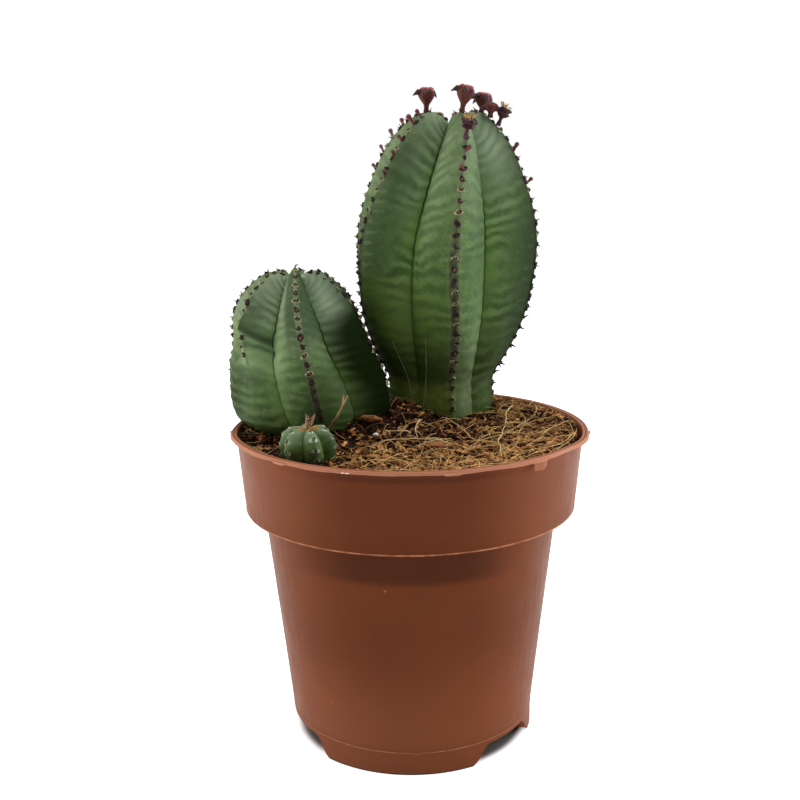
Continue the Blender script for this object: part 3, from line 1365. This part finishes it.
def spent_cup(name, high, wide, rng, finishes):
    """A shrunken dark flower with a tuft of yellow stamens."""
    head = high - 1.3 * MM
    stalk = ((1.5, 0, -0.5), (1.3, 0, 0.3), (0.9, 0.30, 0), (1.2, 0.42, 0))
    lumps = ((0.80, 0.52, 0), (1.05, 0.66, 0), (0.85, 0.76, 0), (1.10, 0.90, 0))
    top = ((0.90, 1, 0), (0.45, 1, 0.1), (0.15, 1, -0.1))
    cup = turned(name, profile(0.62 * MM, head, *stalk) + profile(wide, head, *lumps, *top), 28)
    for vert in cup.data.vertices:
        if vert.co.z > head * 0.35:
            widen(vert, 1 + 0.40 * noise.noise(vert.co * 650 + Vector((wide * 9000, 3, 1))))
            vert.co.z += 0.35 * MM * noise.noise(vert.co * 900)
    pieces = [paint_faces(cup, 2)]
    for number in range(4):
        out = spoke(FULL_TURN * (number + rng.random()) / 4, rng.uniform(-0.3, 0.4))
        lobe = spike("lobe", wide * 0.6, wide * 0.24, wide * 0.04, wide * 0.2)
        lobe.data.transform(frame_of(out, Vector((out.x * wide * 0.7, out.y * wide * 0.7, head * 0.86))))
        pieces.append(paint_faces(lobe, 2))
    for _ in range(22):
        azimuth = FULL_TURN * rng.random()
        root = spoke(azimuth) * math.sqrt(rng.random()) * wide * 0.75 + up(head - 0.2 * MM)
        sway = Vector((rng.uniform(-1, 1), rng.uniform(-1, 1), 0)) * 0.4 * MM
        lean = Vector((root.x * 0.55, root.y * 0.55, 1.5 * MM)) + sway
        size = rng.uniform(1.3, 2.3) * MM
        stamen = spike("stamen", size, 0.10 * MM, 0.15 * MM, rng.uniform(-0.3, 0.3) * MM, sides=4, cuts=1)
        stamen.data.transform(frame_of(lean, root))
        pieces.append(paint_faces(stamen, 3))
    return joined([dress(piece, *finishes) for piece in pieces], name)


def flower_finishes(settings):
    cup = Finish("flower_cup", roughness=0.6, specular=0.15)
    streak = cup.noise(0.9, 3.0, 0.6, stretch=(1, 1, 0.3))
    cup.start(streak.fade(0.35, 0.7), settings.cup, (0.070, 0.040, 0.018))
    cup.coat((0.170, 0.022, 0.026), cup.noise(1.1, 2.0).fade(0.50, 0.72))
    cup.bump(streak, 0.10 * MM, 0.6)
    return (
        cup.done(),
        grained(
            "flower_gland", (0.5, 0.2), (1.8,), (0.46, 0.72), settings.gland, (0.600, 0.260, 0.230), (0.08 * MM, 0.6)
        ),
        grained(
            "flower_dark", (0.6, 0.3), (1.5,), (0.4, 0.75), (0.022, 0.006, 0.010), (0.110, 0.022, 0.030),
            (0.15 * MM, 0.8),
        ),
        grained("flower_pollen", (0.7, 0.2), (1.2, 1.0), (0.4, 0.6), settings.pollen, (0.330, 0.180, 0.050)),
    )


def bud_finish(settings):
    pink = tinted(settings.gland, 0.50)
    return grained("bud_skin", (0.45, 0.4), (0.8,), (0.4, 0.7), pink, (0.080, 0.016, 0.014), (0.06 * MM, 0.5))


def peg(name, size, wide):
    """A young bud: a short stalk with a blunt swollen tip."""
    stalk = ((0.72, 0, -0.5), (0.66, 0.10, 0), (0.62, 0.35, 0), (0.85, 0.58, 0))
    tip = ((1, 0.76, 0), (0.88, 0.92, 0), (0.55, 1, 0), (0.15, 1.02, 0))
    thing = turned(name, profile(wide, size, *stalk, *tip), 14)
    for vert in thing.data.vertices:
        widen(vert, 1 + 0.10 * noise.noise(vert.co * 700 + Vector((size * 3000, 0, 0))))
    return thing


def plant(thing, foot, axis, slot, node, spin=0.0):
    """Stand a flower or bud on its stem in place of its part."""
    thing.data.transform(frame_of(axis, foot, spin))
    smooth(thing, 60)
    settle(thing, slot, node)


class EUPHORBIA_OT_flowers(bpy.types.Operator):
    """Model the open and spent flowers, the buds, and the withered flower of the offset"""

    bl_idname = "euphorbia.flowers"
    bl_label = "Flowers"

    def execute(self, context):
        settings = context.scene.euphorbia_flower
        finishes = flower_finishes(settings)
        stem = surface_of("tall_stem")
        for number, kind in enumerate(("open", "open", "open", "closed", "spent", "spent"), 1):
            node, name = f"cyathium_{number}", f"flower_{number}"
            rng = random.Random(40 + number)
            foot, axis, size, wide = stands_on(node, stem)
            if kind == "spent":
                flower = spent_cup(name, size, wide, rng, finishes)
                spin = rng.random() * 6
            else:
                flower = open_cup(name, size - 0.8 * MM, wide * 1.14, rng, finishes, kind == "closed")
                spin = 0.15 + 0.2 * rng.random()
            plant(flower, foot, axis, "cyathium_red", node, spin)
        skin = bud_finish(settings)
        for number in range(1, 14):
            node = f"flower_bud_{number}"
            foot, axis, size, wide = stands_on(node, stem)
            plant(dress(peg(f"bud_{number}", size, wide), skin), foot, axis, "bud_red", node)
        self.husk()
        return {"FINISHED"}

    def husk(self):
        """The withered flower: a torn dry cup with a few upright shreds."""
        foot, axis, size, wide = stands_on("withered_flower", surface_of("offset_stem"))
        rng = random.Random(77)
        outline = profile(MM, 0, (0.95, 0, -0.4), (0.75, 0, 0.5))
        outline += profile(wide, size, (1, 0.5, 0), (0.9, 0.85, 0), (0.6, 0.80, 0), (0.2, 0.6, 0))
        cup = turned("husk", outline, 18)
        for vert in cup.data.vertices:
            tear = noise.noise(vert.co * 800)
            widen(vert, 1 + 0.35 * tear)
            vert.co.z += max(0.0, vert.co.z - size * 0.6) * 0.8 * tear
        pieces = [cup]
        for number in range(6):
            azimuth = FULL_TURN * (number + 0.4 * rng.random()) / 6
            out = spoke(azimuth)
            high = rng.uniform(1.6, 3.4) * MM
            shred = spike("shred", high, 0.55 * MM, 0.05 * MM, rng.uniform(-0.6, 0.8) * MM, sides=6)
            for vert in shred.data.vertices:
                vert.co.y *= 0.35
            lean = out * rng.uniform(0.05, 0.6) + up(1)
            shred.data.transform(frame_of(lean, out * wide * 0.62 + up(size * 0.55), azimuth))
            pieces.append(shred)
        tones = ((0.420, 0.260, 0.170), (0.130, 0.045, 0.030))
        dry = grained("husk", (0.75, 0.25), (0.8, 3.0, 0.6), (0.38, 0.68), *tones, (0.12 * MM, 0.8))
        plant(dress(joined(pieces, "husk"), dry), foot, axis, "straw", "withered_flower")


# Soil ------------------------------------------------------------------------------------------------


class Ground:
    """The heaped surface of the soil, with the stems that stand in it."""

    def __init__(self, cells):
        self.cells = cells
        self.reach = SOIL_RADIUS + 0.3 * MM
        self.stems = [surface_of(node) for node in ("tall_stem", "short_stem", "offset_stem")]
        self.height = np.full((cells + 1, cells + 1), np.nan)
        marks = [self.reach * (2 * i / cells - 1) for i in range(cells + 1)]
        spots = [(i, j, x, y) for i, x in enumerate(marks) for j, y in enumerate(marks)]
        self.measure(spots)
        self.spread()
        self.heap(spots)

    def measure(self, spots):
        """Read the levels of the soil's part where it is in the open."""
        soil = surface_of("soil")
        edge = SOIL_RADIUS - 0.4 * MM
        lowest = 90 * MM
        for i, j, x, y in spots:
            spot = Vector((x, y, 0.0))
            if spot.length > self.reach * 1.02:
                continue
            if spot.length > edge:
                spot *= edge / spot.length
            spot.z = soil.ray_cast(spot + up(1.0), up(-1.0))[0].z
            if spot.z > lowest and not self.blocked(spot + up(0.3 * MM)):
                self.height[i, j] = spot.z

    def spread(self):
        """Carry the known levels out to the spots around them."""
        for _ in range(90):
            padded = np.pad(self.height, 1, mode="edge")
            around = np.stack([padded[:-2, 1:-1], padded[2:, 1:-1], padded[1:-1, :-2], padded[1:-1, 2:]])
            known = ~np.isnan(around)
            total = np.where(known, around, 0.0).sum(axis=0)
            count = known.sum(axis=0)
            fill = np.isnan(self.height) & (count > 0)
            self.height[fill] = total[fill] / count[fill]

    def heap(self, spots):
        """Raise the ground at the foot of the short stem and at the front right edge."""
        high, wide = 2.2 * MM, 3.5 * MM
        for i, j, x, y in spots:
            spot = Vector((x, y, self.height[i, j]))
            found, normal, _, away = self.stems[1].find_nearest(spot)
            if (spot - found).dot(normal) < 0:
                away = 0.0
            edge = bounded((spot.xy.length - 42 * MM) / (12 * MM))
            edge *= bounded(x / (30 * MM)) * bounded((30 * MM - y) / (16 * MM))
            self.height[i, j] += high * (hump(away, wide) + edge)

    def at(self, x, y):
        """Height of the surface under a point."""
        u, v = (min(max((c / self.reach + 1) / 2 * self.cells, 0.0), self.cells - 0.001) for c in (x, y))
        i, j = int(u), int(v)
        u, v = u - i, v - j
        h = self.height
        low = h[i, j] * (1 - u) + h[i + 1, j] * u
        high = h[i, j + 1] * (1 - u) + h[i + 1, j + 1] * u
        return low * (1 - v) + high * v

    def blocked(self, point, margin=0.0):
        """Whether a point is inside a stem, or nearer to it than a margin."""
        thickest = 30 * MM
        for tree in self.stems:
            spot, normal, _, away = tree.find_nearest(point)
            if (point - spot).dot(normal) < 0 and away < thickest or away < margin:
                return True
        return False


def clods(x, y):
    """Height of the crumbly clods over the smooth surface, in millimetres."""
    spot = Vector((x, y, 0.0)) / MM
    coarse = noise.fractal(spot * 0.16, 0.9, 2.1, 3)
    lumps = noise.cell(spot * 0.55 + Vector((noise.noise(spot * 0.5), noise.noise(spot * 0.5 + Vector((9, 9, 9))), 0)))
    fine = noise.fractal(spot * 0.9 + Vector((5, 7, 0)), 0.6, 2.0, 3)
    return 0.7 * coarse + 0.45 * (lumps - 0.5) + 0.45 * fine


def goldness(x, y):
    """How golden the fibres are at a spot: most at the front and the right, least at the left and the heap."""
    x, y = x / MM, y / MM
    front = bounded((-y - 2) / 38)
    right = bounded((x - 8) / 30)
    left = bounded((-x - 14) / 14)
    heap = math.exp(-(((x + 11) / 15) ** 2 + ((y - 6) / 15) ** 2))
    return bounded((0.30 + 0.70 * front + 0.50 * right) * (1 - 0.85 * left) * (1 - 0.85 * heap))


def soil_body(settings, ground):
    """The root ball: a fine grid for its surface, drawn down to the pot's floor."""
    cells = settings.cells
    reach = SOIL_RADIUS
    deselect()
    bpy.ops.mesh.primitive_grid_add(x_subdivisions=cells, y_subdivisions=cells, size=2 * reach)
    soil = named("soil_body")
    bpy.ops.object.mode_set(mode="EDIT")
    bpy.ops.mesh.select_all(action="DESELECT")
    bpy.ops.mesh.select_mode(type="VERT")
    bpy.ops.object.mode_set(mode="OBJECT")
    for vert in soil.data.vertices:
        vert.select = vert.co.xy.length > reach * 0.997
    bpy.ops.object.mode_set(mode="EDIT")
    bpy.ops.mesh.delete(type="VERT")
    bpy.ops.mesh.select_all(action="SELECT")
    bpy.ops.mesh.region_to_loop()
    bpy.ops.object.mode_set(mode="OBJECT")
    for vert in soil.data.vertices:
        far = vert.co.xy.length
        if vert.select:
            widen(vert, reach / far)
            far = reach
        calm = min((reach - far) / (3 * MM), 1.0)
        raised = clods(vert.co.x, vert.co.y) * settings.clod * (0.35 + 0.65 * calm)
        vert.co.z = ground.at(vert.co.x, vert.co.y) + raised - 0.7 * MM * calm - 0.2 * MM
    ledge = POT_HEIGHT - 24.2 * MM
    last = 1.0
    bpy.ops.object.mode_set(mode="EDIT")
    for share, level in ((0.9685, ledge), (0.862, ledge - 0.3 * MM), (0.704, SOIL_FLOOR)):
        bpy.ops.mesh.extrude_edges_move()
        bpy.ops.transform.resize(value=(share / last, share / last, 0), center_override=(0, 0, level))
        last = share
    bpy.ops.mesh.edge_face_add()
    face_out()
    smooth(soil, 75)
    return soil


def soil_finish(settings):
    soil = Finish("soil_body", roughness=0.95, specular=0.15)
    soil.start(soil.noise(0.35, 4.0, 0.7).fade(0.35, 0.70), settings.crumb_dark, (0.045, 0.015, 0.006))
    front = soil.axis("Y").fade(8 * MM, -34 * MM) * soil.axis("X").fade(-26 * MM, -6 * MM)
    fibrous = soil.noise(0.9, 4.0, 0.7, stretch=(1.6, 0.7, 1), bend=1.5)
    soil.coat(tinted(settings.coir, 0.24), front * fibrous.fade(0.52, 0.72))
    soil.bump(soil.noise(1.4, 4.0, 0.7), 0.8 * MM, 1.0)
    return soil.done()


def random_spot(rng, reach):
    """A spot on the soil, drawn evenly from the disk that reaches a radius."""
    far = reach * math.sqrt(rng.random())
    azimuth = FULL_TURN * rng.random()
    return far * math.sin(azimuth), -far * math.cos(azimuth)


def fibre_route(rng, ground, size, arch, step=1.3 * MM, wander=0.11):
    """A curled route over the surface that starts in the open; its ends dip into the soil."""
    for _ in range(40):
        x, y = random_spot(rng, SOIL_RADIUS)
        if not ground.blocked(Vector((x, y, ground.at(x, y) + 0.5 * MM)), 0.8 * MM):
            break
    heading = FULL_TURN * rng.random()
    curl = rng.gauss(0.0, 0.10)
    count = max(3, int(size / step))
    wall = SOIL_RADIUS - 0.6 * MM
    route = []
    for i in range(count + 1):
        t = i / count
        lift = (arch * math.sin(math.pi * t) + 0.35 * MM) if 0 < i < count else -0.4 * MM
        point = Vector((x, y, ground.at(x, y) + lift))
        if ground.blocked(point, 0.25 * MM):
            break
        route.append((point, 1.0 - 0.45 * t))
        curl = 0.85 * curl + rng.gauss(0.0, wander)
        heading += curl
        x += step * math.cos(heading)
        y += step * math.sin(heading)
        far = math.hypot(x, y)
        if far > wall:
            x, y = x * wall / far, y * wall / far
            outward = math.atan2(y, x)
            heading = outward + math.copysign(math.pi / 2, math.sin(heading - outward))
    return route


def fibre_finish(name, base, tip):
    return grained(name, (0.7, 0.25), (0.25, 3.0, 0.6), (0.35, 0.68), base, tip)


def leaning_strands(rng, ground):
    """Strands that lean on the pot's wall at the left, and a wisp that curls up over the lip at the right."""
    routes = []
    for _ in range(22):
        azimuth = math.radians(rng.uniform(-112, -64))
        drift = rng.uniform(-0.20, 0.20)
        foot = rng.uniform(47.0, 54.0) * MM
        top = POT_HEIGHT + rng.uniform(-1.4, 0.2) * MM
        route = []
        for i in range(8):
            t = i / 7
            spot = direction(azimuth + drift * t) * (foot + (57.4 * MM - foot) * t)
            level = ground.at(spot.x, spot.y) + 0.3 * MM
            route.append((spot + up(level + (top - level) * t**2), 0.9 - 0.5 * t))
        routes.append(route)
    wisp = ((45, 16, 103.4), (47, 17.5, 104.4), (48.6, 18.6, 105.9), (49.8, 19.2, 107.4))
    curl = ((50.9, 19.8, 108.6), (51.3, 20.4, 109.5), (50.6, 20.9, 109.9))
    routes.append([(Vector(point) * MM, 1.2) for point in wisp + curl])
    return routes


def scatter_fibres(settings, ground):
    """Coir fibres in three tones, thick on the open ground and golden where it is brightest."""
    rng = random.Random(2024)
    colours = {
        "fibres_golden": (settings.golden, tinted(settings.golden, 0.55)),
        "fibres_coir": (settings.coir, tinted(settings.coir, 0.45)),
        "fibres_dark": ((0.085, 0.030, 0.014), (0.030, 0.012, 0.007)),
        "threads": ((0.900, 0.660, 0.300), (0.600, 0.360, 0.110)),
    }
    tones = {name: [] for name in colours}

    def add(name, route, thick):
        tones[name].append([(point, share * thick) for point, share in route])

    while sum(map(len, tones.values())) < settings.fibres:
        size = rng.uniform(3.0, 8.0) * MM if rng.random() < 0.7 else rng.uniform(8.0, 20.0) * MM
        route = fibre_route(rng, ground, size, rng.uniform(0.0, 1.3) * MM)
        if len(route) < 3:
            continue
        gold = goldness(*route[len(route) // 2][0].xy)
        if rng.random() > 0.25 + 0.75 * gold:
            continue
        thick = rng.uniform(0.55, 1.25)
        dice = rng.random()
        tone = "golden" if dice < gold * 0.62 else "coir" if dice < 0.45 + 0.4 * gold else "dark"
        add("fibres_" + tone, route, thick)
    while len(tones["threads"]) < settings.threads:
        size = rng.uniform(10.0, 34.0) * MM
        route = fibre_route(rng, ground, size, rng.uniform(0.5, 2.2) * MM, 1.4 * MM, 0.040)
        if len(route) >= 7 and rng.random() <= 0.10 + 0.9 * goldness(*route[len(route) // 2][0].xy):
            add("threads", route, rng.uniform(0.75, 1.35))
    tones["threads"] += leaning_strands(rng, ground)
    for name, routes in tones.items():
        mat = strands(name, routes, (0.085 if name == "threads" else 0.105) * MM)
        dress(mat, fibre_finish(name, *colours[name]))
        settle(mat, "coir")


def scatter_crumbs(settings, ground):
    """Shreds of coir and bark that lie at all angles, and crumbs of peat where the soil is dark."""
    rng = random.Random(7)
    models = []
    for number in range(6):
        deselect()
        bpy.ops.mesh.primitive_ico_sphere_add(subdivisions=1 if number < 3 else 2, radius=0.5)
        model = named(f"crumb_model_{number}")
        for vert in model.data.vertices:
            vert.co *= 1 + 0.95 * noise.noise(vert.co * 3.1 + Vector((number * 5, 1, 2)))
        models.append(model)
    colours = {
        "crumbs_dark": ((0.022, 0.009, 0.005), (0.060, 0.022, 0.011)),
        "crumbs_brown": ((0.270, 0.100, 0.030), (0.080, 0.024, 0.008)),
        "chips_tan": ((0.640, 0.330, 0.120), (0.340, 0.150, 0.050)),
    }
    tones = {name: [] for name in colours}
    thickest = 1.5 * MM
    made = 0
    while made < settings.crumbs:
        x, y = random_spot(rng, SOIL_RADIUS - 0.3 * MM)
        far = math.hypot(x, y)
        point = Vector((x, y, ground.at(x, y)))
        if ground.blocked(point + up(0.6 * MM), 0.5 * MM):
            continue
        made += 1
        gold = goldness(x, y)
        patch = noise.noise(Vector((x, y, 0.0)) / (5 * MM))
        if rng.random() < 0.15 + 0.75 * gold:
            size = rng.uniform(1.3, 3.0) * MM if rng.random() < 0.75 else rng.uniform(3.0, 5.5) * MM
            wide = rng.uniform(0.55, 1.25) * MM
            stretch = (size, wide, wide * rng.uniform(0.35, 0.75))
        else:
            size = rng.uniform(0.8, 2.6) * MM
            wide = min(size, thickest)
            stretch = (size, wide * rng.uniform(0.35, 0.75), wide * rng.uniform(0.35, 0.7))
        dice = rng.random() - 0.5 * patch
        pale, brown = dice < 0.08 + 0.50 * gold, dice < 0.44 + 0.38 * gold
        tone = "chips_tan" if pale else "crumbs_brown" if brown else "crumbs_dark"
        turn = Euler((rng.uniform(-0.9, 0.9), rng.uniform(-0.45, 0.45), rng.random() * 6)).to_matrix().to_4x4()
        model = models[(3 if size > 2.4 * MM else 0) + made % 3]
        rim = bounded((far - SOIL_RADIUS + 4 * MM) / (3 * MM))
        if far > SOIL_RADIUS - 1.6 * MM:
            stretch = tuple(min(part, thickest) for part in stretch)
        place = Matrix.Translation(point + up((rng.uniform(-0.35, 0.65) - 0.45 * rim) * MM))
        tones[tone].append(copy_of(model, place @ turn @ Matrix.Diagonal((*stretch, 1.0))))
    for name, copies in tones.items():
        litter = joined(copies, name)
        grit = Finish(name, roughness=0.9, specular=0.15)
        grit.start(grit.noise(0.6, 3.0, 0.7).fade(0.35, 0.65), *colours[name])
        grit.bump(grit.noise(2.0), 0.25 * MM)
        dress(litter, grit.done())
        smooth(litter, 35)
        settle(litter, "coir")
    discard(*models)


def lay_roots():
    """The long pale roots on the soil, thin at their far ends and with a few side hairs."""
    rng = random.Random(31)
    for number in range(1, 7):
        node = f"root_strand_{number}"
        spine = np.array(spine_of(node))
        if spine[0, 1] < spine[-1, 1]:
            spine = spine[::-1]
        fine = smooth_rows(spine, np.linspace(0, len(spine) - 1, 5 * len(spine)))
        main = []
        for i, point in enumerate(map(Vector, fine)):
            t = i / (len(fine) - 1)
            wobble = Vector((noise.noise(point * 130), noise.noise(point * 130 + Vector((5, 5, 5))), 0.0))
            lift = up(0.9 * MM * min(1.0, 8 * t, 8 * (1 - t)))
            main.append((point + wobble * 0.9 * MM + lift, 1.0 - 0.45 * t + 0.15 * math.sin(9 * t + number)))
        routes = [main]
        for _ in range(2):
            start = rng.randrange(len(main) // 4, 3 * len(main) // 4)
            heading = FULL_TURN * rng.random()
            point = main[start][0].copy()
            hair = []
            for _ in range(7):
                hair.append((point.copy(), 0.42))
                heading += rng.gauss(0.0, 0.4)
                point += spoke(heading, rng.uniform(-0.2, 0.25)) * 0.8 * MM
            routes.append(hair)
        root = strands(f"root_{number}", routes, 0.25 * MM, 1)
        dress(root, fibre_finish(f"root_{number}", (0.760, 0.560, 0.300), (0.560, 0.350, 0.150)))
        settle(root, "straw", node)


def stand_stalk():
    """The dry stalk beside the offset, dark at its foot and forked at its tip."""
    spine = spine_of("dry_stalk")
    if spine[0].z > spine[-1].z:
        spine.reverse()
    fine = [Vector(p) for p in smooth_rows(np.array(spine), np.linspace(0, len(spine) - 1, 26))]
    ahead = (fine[-1] - fine[-6]).normalized()
    routes = [[(p, 1.15 - 0.30 * i / 25) for i, p in enumerate(fine[:21])]]
    for side in (-1, 1):
        prong = []
        for i in range(6):
            t = i / 5
            spread = Vector((0.9, 0.0, -0.5)).normalized() * side * 0.62 * t * MM
            prong.append((fine[20] + ahead * (-0.2 + (3.4 - 0.6 * (side < 0)) * t) * MM + spread, 0.85 - 0.25 * t))
        routes.append(prong)
    routes.append([(fine[8] + Vector((0.3 * i, -0.1 * i, 0.25 * i * (3 - i) / 2)) * MM, 0.4) for i in range(5)])
    stalk = strands("stalk", routes, 0.36 * MM, 2)
    dry = Finish("stalk", roughness=0.7, specular=0.3)
    streak = dry.noise(0.5)
    dry.start(streak.fade(0.4, 0.65), (0.560, 0.400, 0.170), (0.330, 0.190, 0.070))
    dry.coat((0.110, 0.038, 0.018), dry.axis("Z").fade(0.119, 0.112))
    dry.bump(streak, 0.1 * MM, 0.6)
    dress(stalk, dry.done())
    settle(stalk, "straw", "dry_stalk")


def roughened(node, name, fineness, rough, slot, finish):
    """A rough grain in place of a smooth part: the part's shape, subdivided and broken up."""
    low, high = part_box(node)
    middle = (Vector(low) + Vector(high)) / 2
    body = welded(node)
    grain = linked(name, bpy.data.meshes.new(name))
    body.to_mesh(grain.data)
    body.free()
    modify(grain, "SUBSURF", levels=fineness, render_levels=fineness)
    for vert in grain.data.vertices:
        lump = noise.fractal(vert.co / MM * 0.55, 0.7, 2.1, 4)
        vert.co = middle + (vert.co - middle) * (1 + rough * lump)
    dress(grain, finish)
    smooth(grain, 50)
    settle(grain, slot, node)


class EUPHORBIA_OT_soil(bpy.types.Operator):
    """Model the soil with its coir fibres, crumbs, roots, bark chips, grains and the dry stalk"""

    bl_idname = "euphorbia.soil"
    bl_label = "Soil"

    def execute(self, context):
        settings = context.scene.euphorbia_soil
        ground = Ground(150)
        soil = soil_body(settings, ground)
        dress(soil, soil_finish(settings))
        settle(soil, "coir", "soil")
        scatter_fibres(settings, ground)
        scatter_crumbs(settings, ground)
        lay_roots()
        stand_stalk()
        tones = ((0.340, 0.140, 0.050), (0.110, 0.038, 0.018))
        streaks = (0.5, 4.0, 0.7, (0.4, 1.6, 1.6))
        bark = grained("bark_chip", (0.85, 0.2), streaks, (0.38, 0.68), *tones, (0.5 * MM,))
        for number in (1, 2, 3):
            roughened(f"bark_chip_{number}", f"chip_{number}", 2, 0.30, "bark", bark)
        tones = ((0.460, 0.420, 0.360), (0.800, 0.790, 0.760))
        stone = grained("perlite_grain", (0.8, 0.2), (1.5,), (0.3, 0.6), *tones, (0.3 * MM,))
        for number in (1, 2):
            roughened(f"perlite_{number}", f"grain_{number}", 1, 0.35, "perlite", stone)
        return {"FINISHED"}


# Stage -----------------------------------------------------------------------------------------------


def add_panel(name, place, target, size, power, tone=WHITE):
    """A soft area light that faces a target."""
    light = bpy.data.lights.new(name, "AREA")
    light.shape = "DISK"
    light.size = size
    light.energy = power
    light.color = tone
    lamp = linked(name, light)
    lamp.location = place
    lamp.rotation_euler = (Vector(target) - Vector(place)).to_track_quat("-Z", "Y").to_euler()


class EUPHORBIA_OT_stage(bpy.types.Operator):
    """Make the pale floor, the soft studio light and the camera"""

    bl_idname = "euphorbia.stage"
    bl_label = "Stage"

    def execute(self, context):
        stage = context.scene.euphorbia_stage
        self.lay_floor(stage)
        self.light_world(context.scene, stage)
        middle = (0, 0, 0.1)
        add_panel("overhead", (0.12, 0.05, 1.1), middle, 0.9, 7)
        add_panel("left_side", (-0.9, 0.12, 0.35), middle, 0.8, 5.8, (1.0, 0.95, 0.86))
        add_panel("right_side", (0.9, 0.12, 0.35), middle, 0.8, 6.4)
        self.aim_camera(context.scene, stage)
        context.scene.view_settings.view_transform = "Standard"
        return {"FINISHED"}

    def lay_floor(self, stage):
        """A lit paper floor, dark only under the pot."""
        deselect()
        bpy.ops.mesh.primitive_circle_add(vertices=96, radius=6.0, fill_type="NGON")
        floor = named("floor")
        paper = Finish("floor_paper", roughness=0.9, specular=0.1)
        far = (paper.axis("X") ** 2.0 + paper.axis("Y") ** 2.0).root()
        paper.start(far.fade(41.0 * MM, 37.5 * MM), stage.floor, tinted(stage.floor, 0.2))
        paper.feed(paper.inputs["Emission Color"], WHITE)
        paper.feed(paper.inputs["Emission Strength"], far.fade(38.5 * MM, 41.5 * MM, 0.0, stage.glow))
        floor.data.materials.append(paper.done())

    def light_world(self, scene, stage):
        """White light from all around, most from behind, on a backdrop that the camera sees at full strength."""
        scene.world = bpy.data.worlds.new("studio")
        scene.world.use_nodes = True
        nodes = Nodes(scene.world.node_tree)
        sky = nodes.tree.nodes["Background"].inputs
        way = nodes.put("TexCoord").outputs["Generated"]
        around = nodes.value("SeparateXYZ", {0: way}, "Y").fade(-0.9, 0.5, stage.sky_front, stage.sky)
        seen = nodes.put("LightPath").outputs["Is Camera Ray"]
        nodes.feed(sky["Strength"], nodes.value("MapRange", {"Value": seen, "To Min": around, "To Max": 1.0}, "Result"))
        nodes.feed(sky["Color"], WHITE)

    def aim_camera(self, scene, stage):
        """Aim the camera by its heading and tilt, and roll it about the line of sight."""
        camera = bpy.data.cameras.new("camera")
        camera.lens = stage.lens
        camera.sensor_width = 36.0
        camera.clip_start = 0.01
        eye = linked("camera", camera)
        level_ahead = Vector((math.sin(stage.heading), math.cos(stage.heading), 0.0))
        ahead = level_ahead * math.cos(stage.tilt) + up(math.sin(stage.tilt))
        right = Vector((math.cos(stage.heading), -math.sin(stage.heading), 0.0))
        above = right.cross(ahead)
        rolled_right = right * math.cos(stage.roll) + above * math.sin(stage.roll)
        rolled_up = above * math.cos(stage.roll) - right * math.sin(stage.roll)
        eye.rotation_euler = Matrix((rolled_right, rolled_up, -ahead)).transposed().to_euler()
        eye.location = (0.0, -stage.distance, stage.height)
        scene.camera = eye


class EUPHORBIA_PT_panel(bpy.types.Panel):
    """Lists the steps that model the plant"""

    bl_label = "Potted Euphorbia"
    bl_idname = "EUPHORBIA_PT_panel"
    bl_space_type = "VIEW_3D"
    bl_region_type = "UI"
    bl_category = "Euphorbia"

    def draw(self, context):
        for step in STEPS:
            self.layout.operator(step.bl_idname)


STEPS = (EUPHORBIA_OT_pot, EUPHORBIA_OT_soil, EUPHORBIA_OT_stems, EUPHORBIA_OT_flowers, EUPHORBIA_OT_stage)
SETTINGS = {
    "euphorbia_pot": PotSettings,
    "euphorbia_stem": StemSettings,
    "euphorbia_crest": CrestSettings,
    "euphorbia_flower": FlowerSettings,
    "euphorbia_soil": SoilSettings,
    "euphorbia_stage": StageSettings,
}


def register():
    for group in (*SETTINGS.values(), *STEPS, EUPHORBIA_PT_panel):
        bpy.utils.register_class(group)
    for name, group in SETTINGS.items():
        setattr(bpy.types.Scene, name, PointerProperty(type=group))


def unregister():
    for name in SETTINGS:
        delattr(bpy.types.Scene, name)
    for group in (EUPHORBIA_PT_panel, *reversed(STEPS), *SETTINGS.values()):
        bpy.utils.unregister_class(group)


def main():
    register()
    for step in STEPS:
        area, name = step.bl_idname.split(".")
        getattr(getattr(bpy.ops, area), name)()
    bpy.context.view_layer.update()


if __name__ == "__main__":
    main()
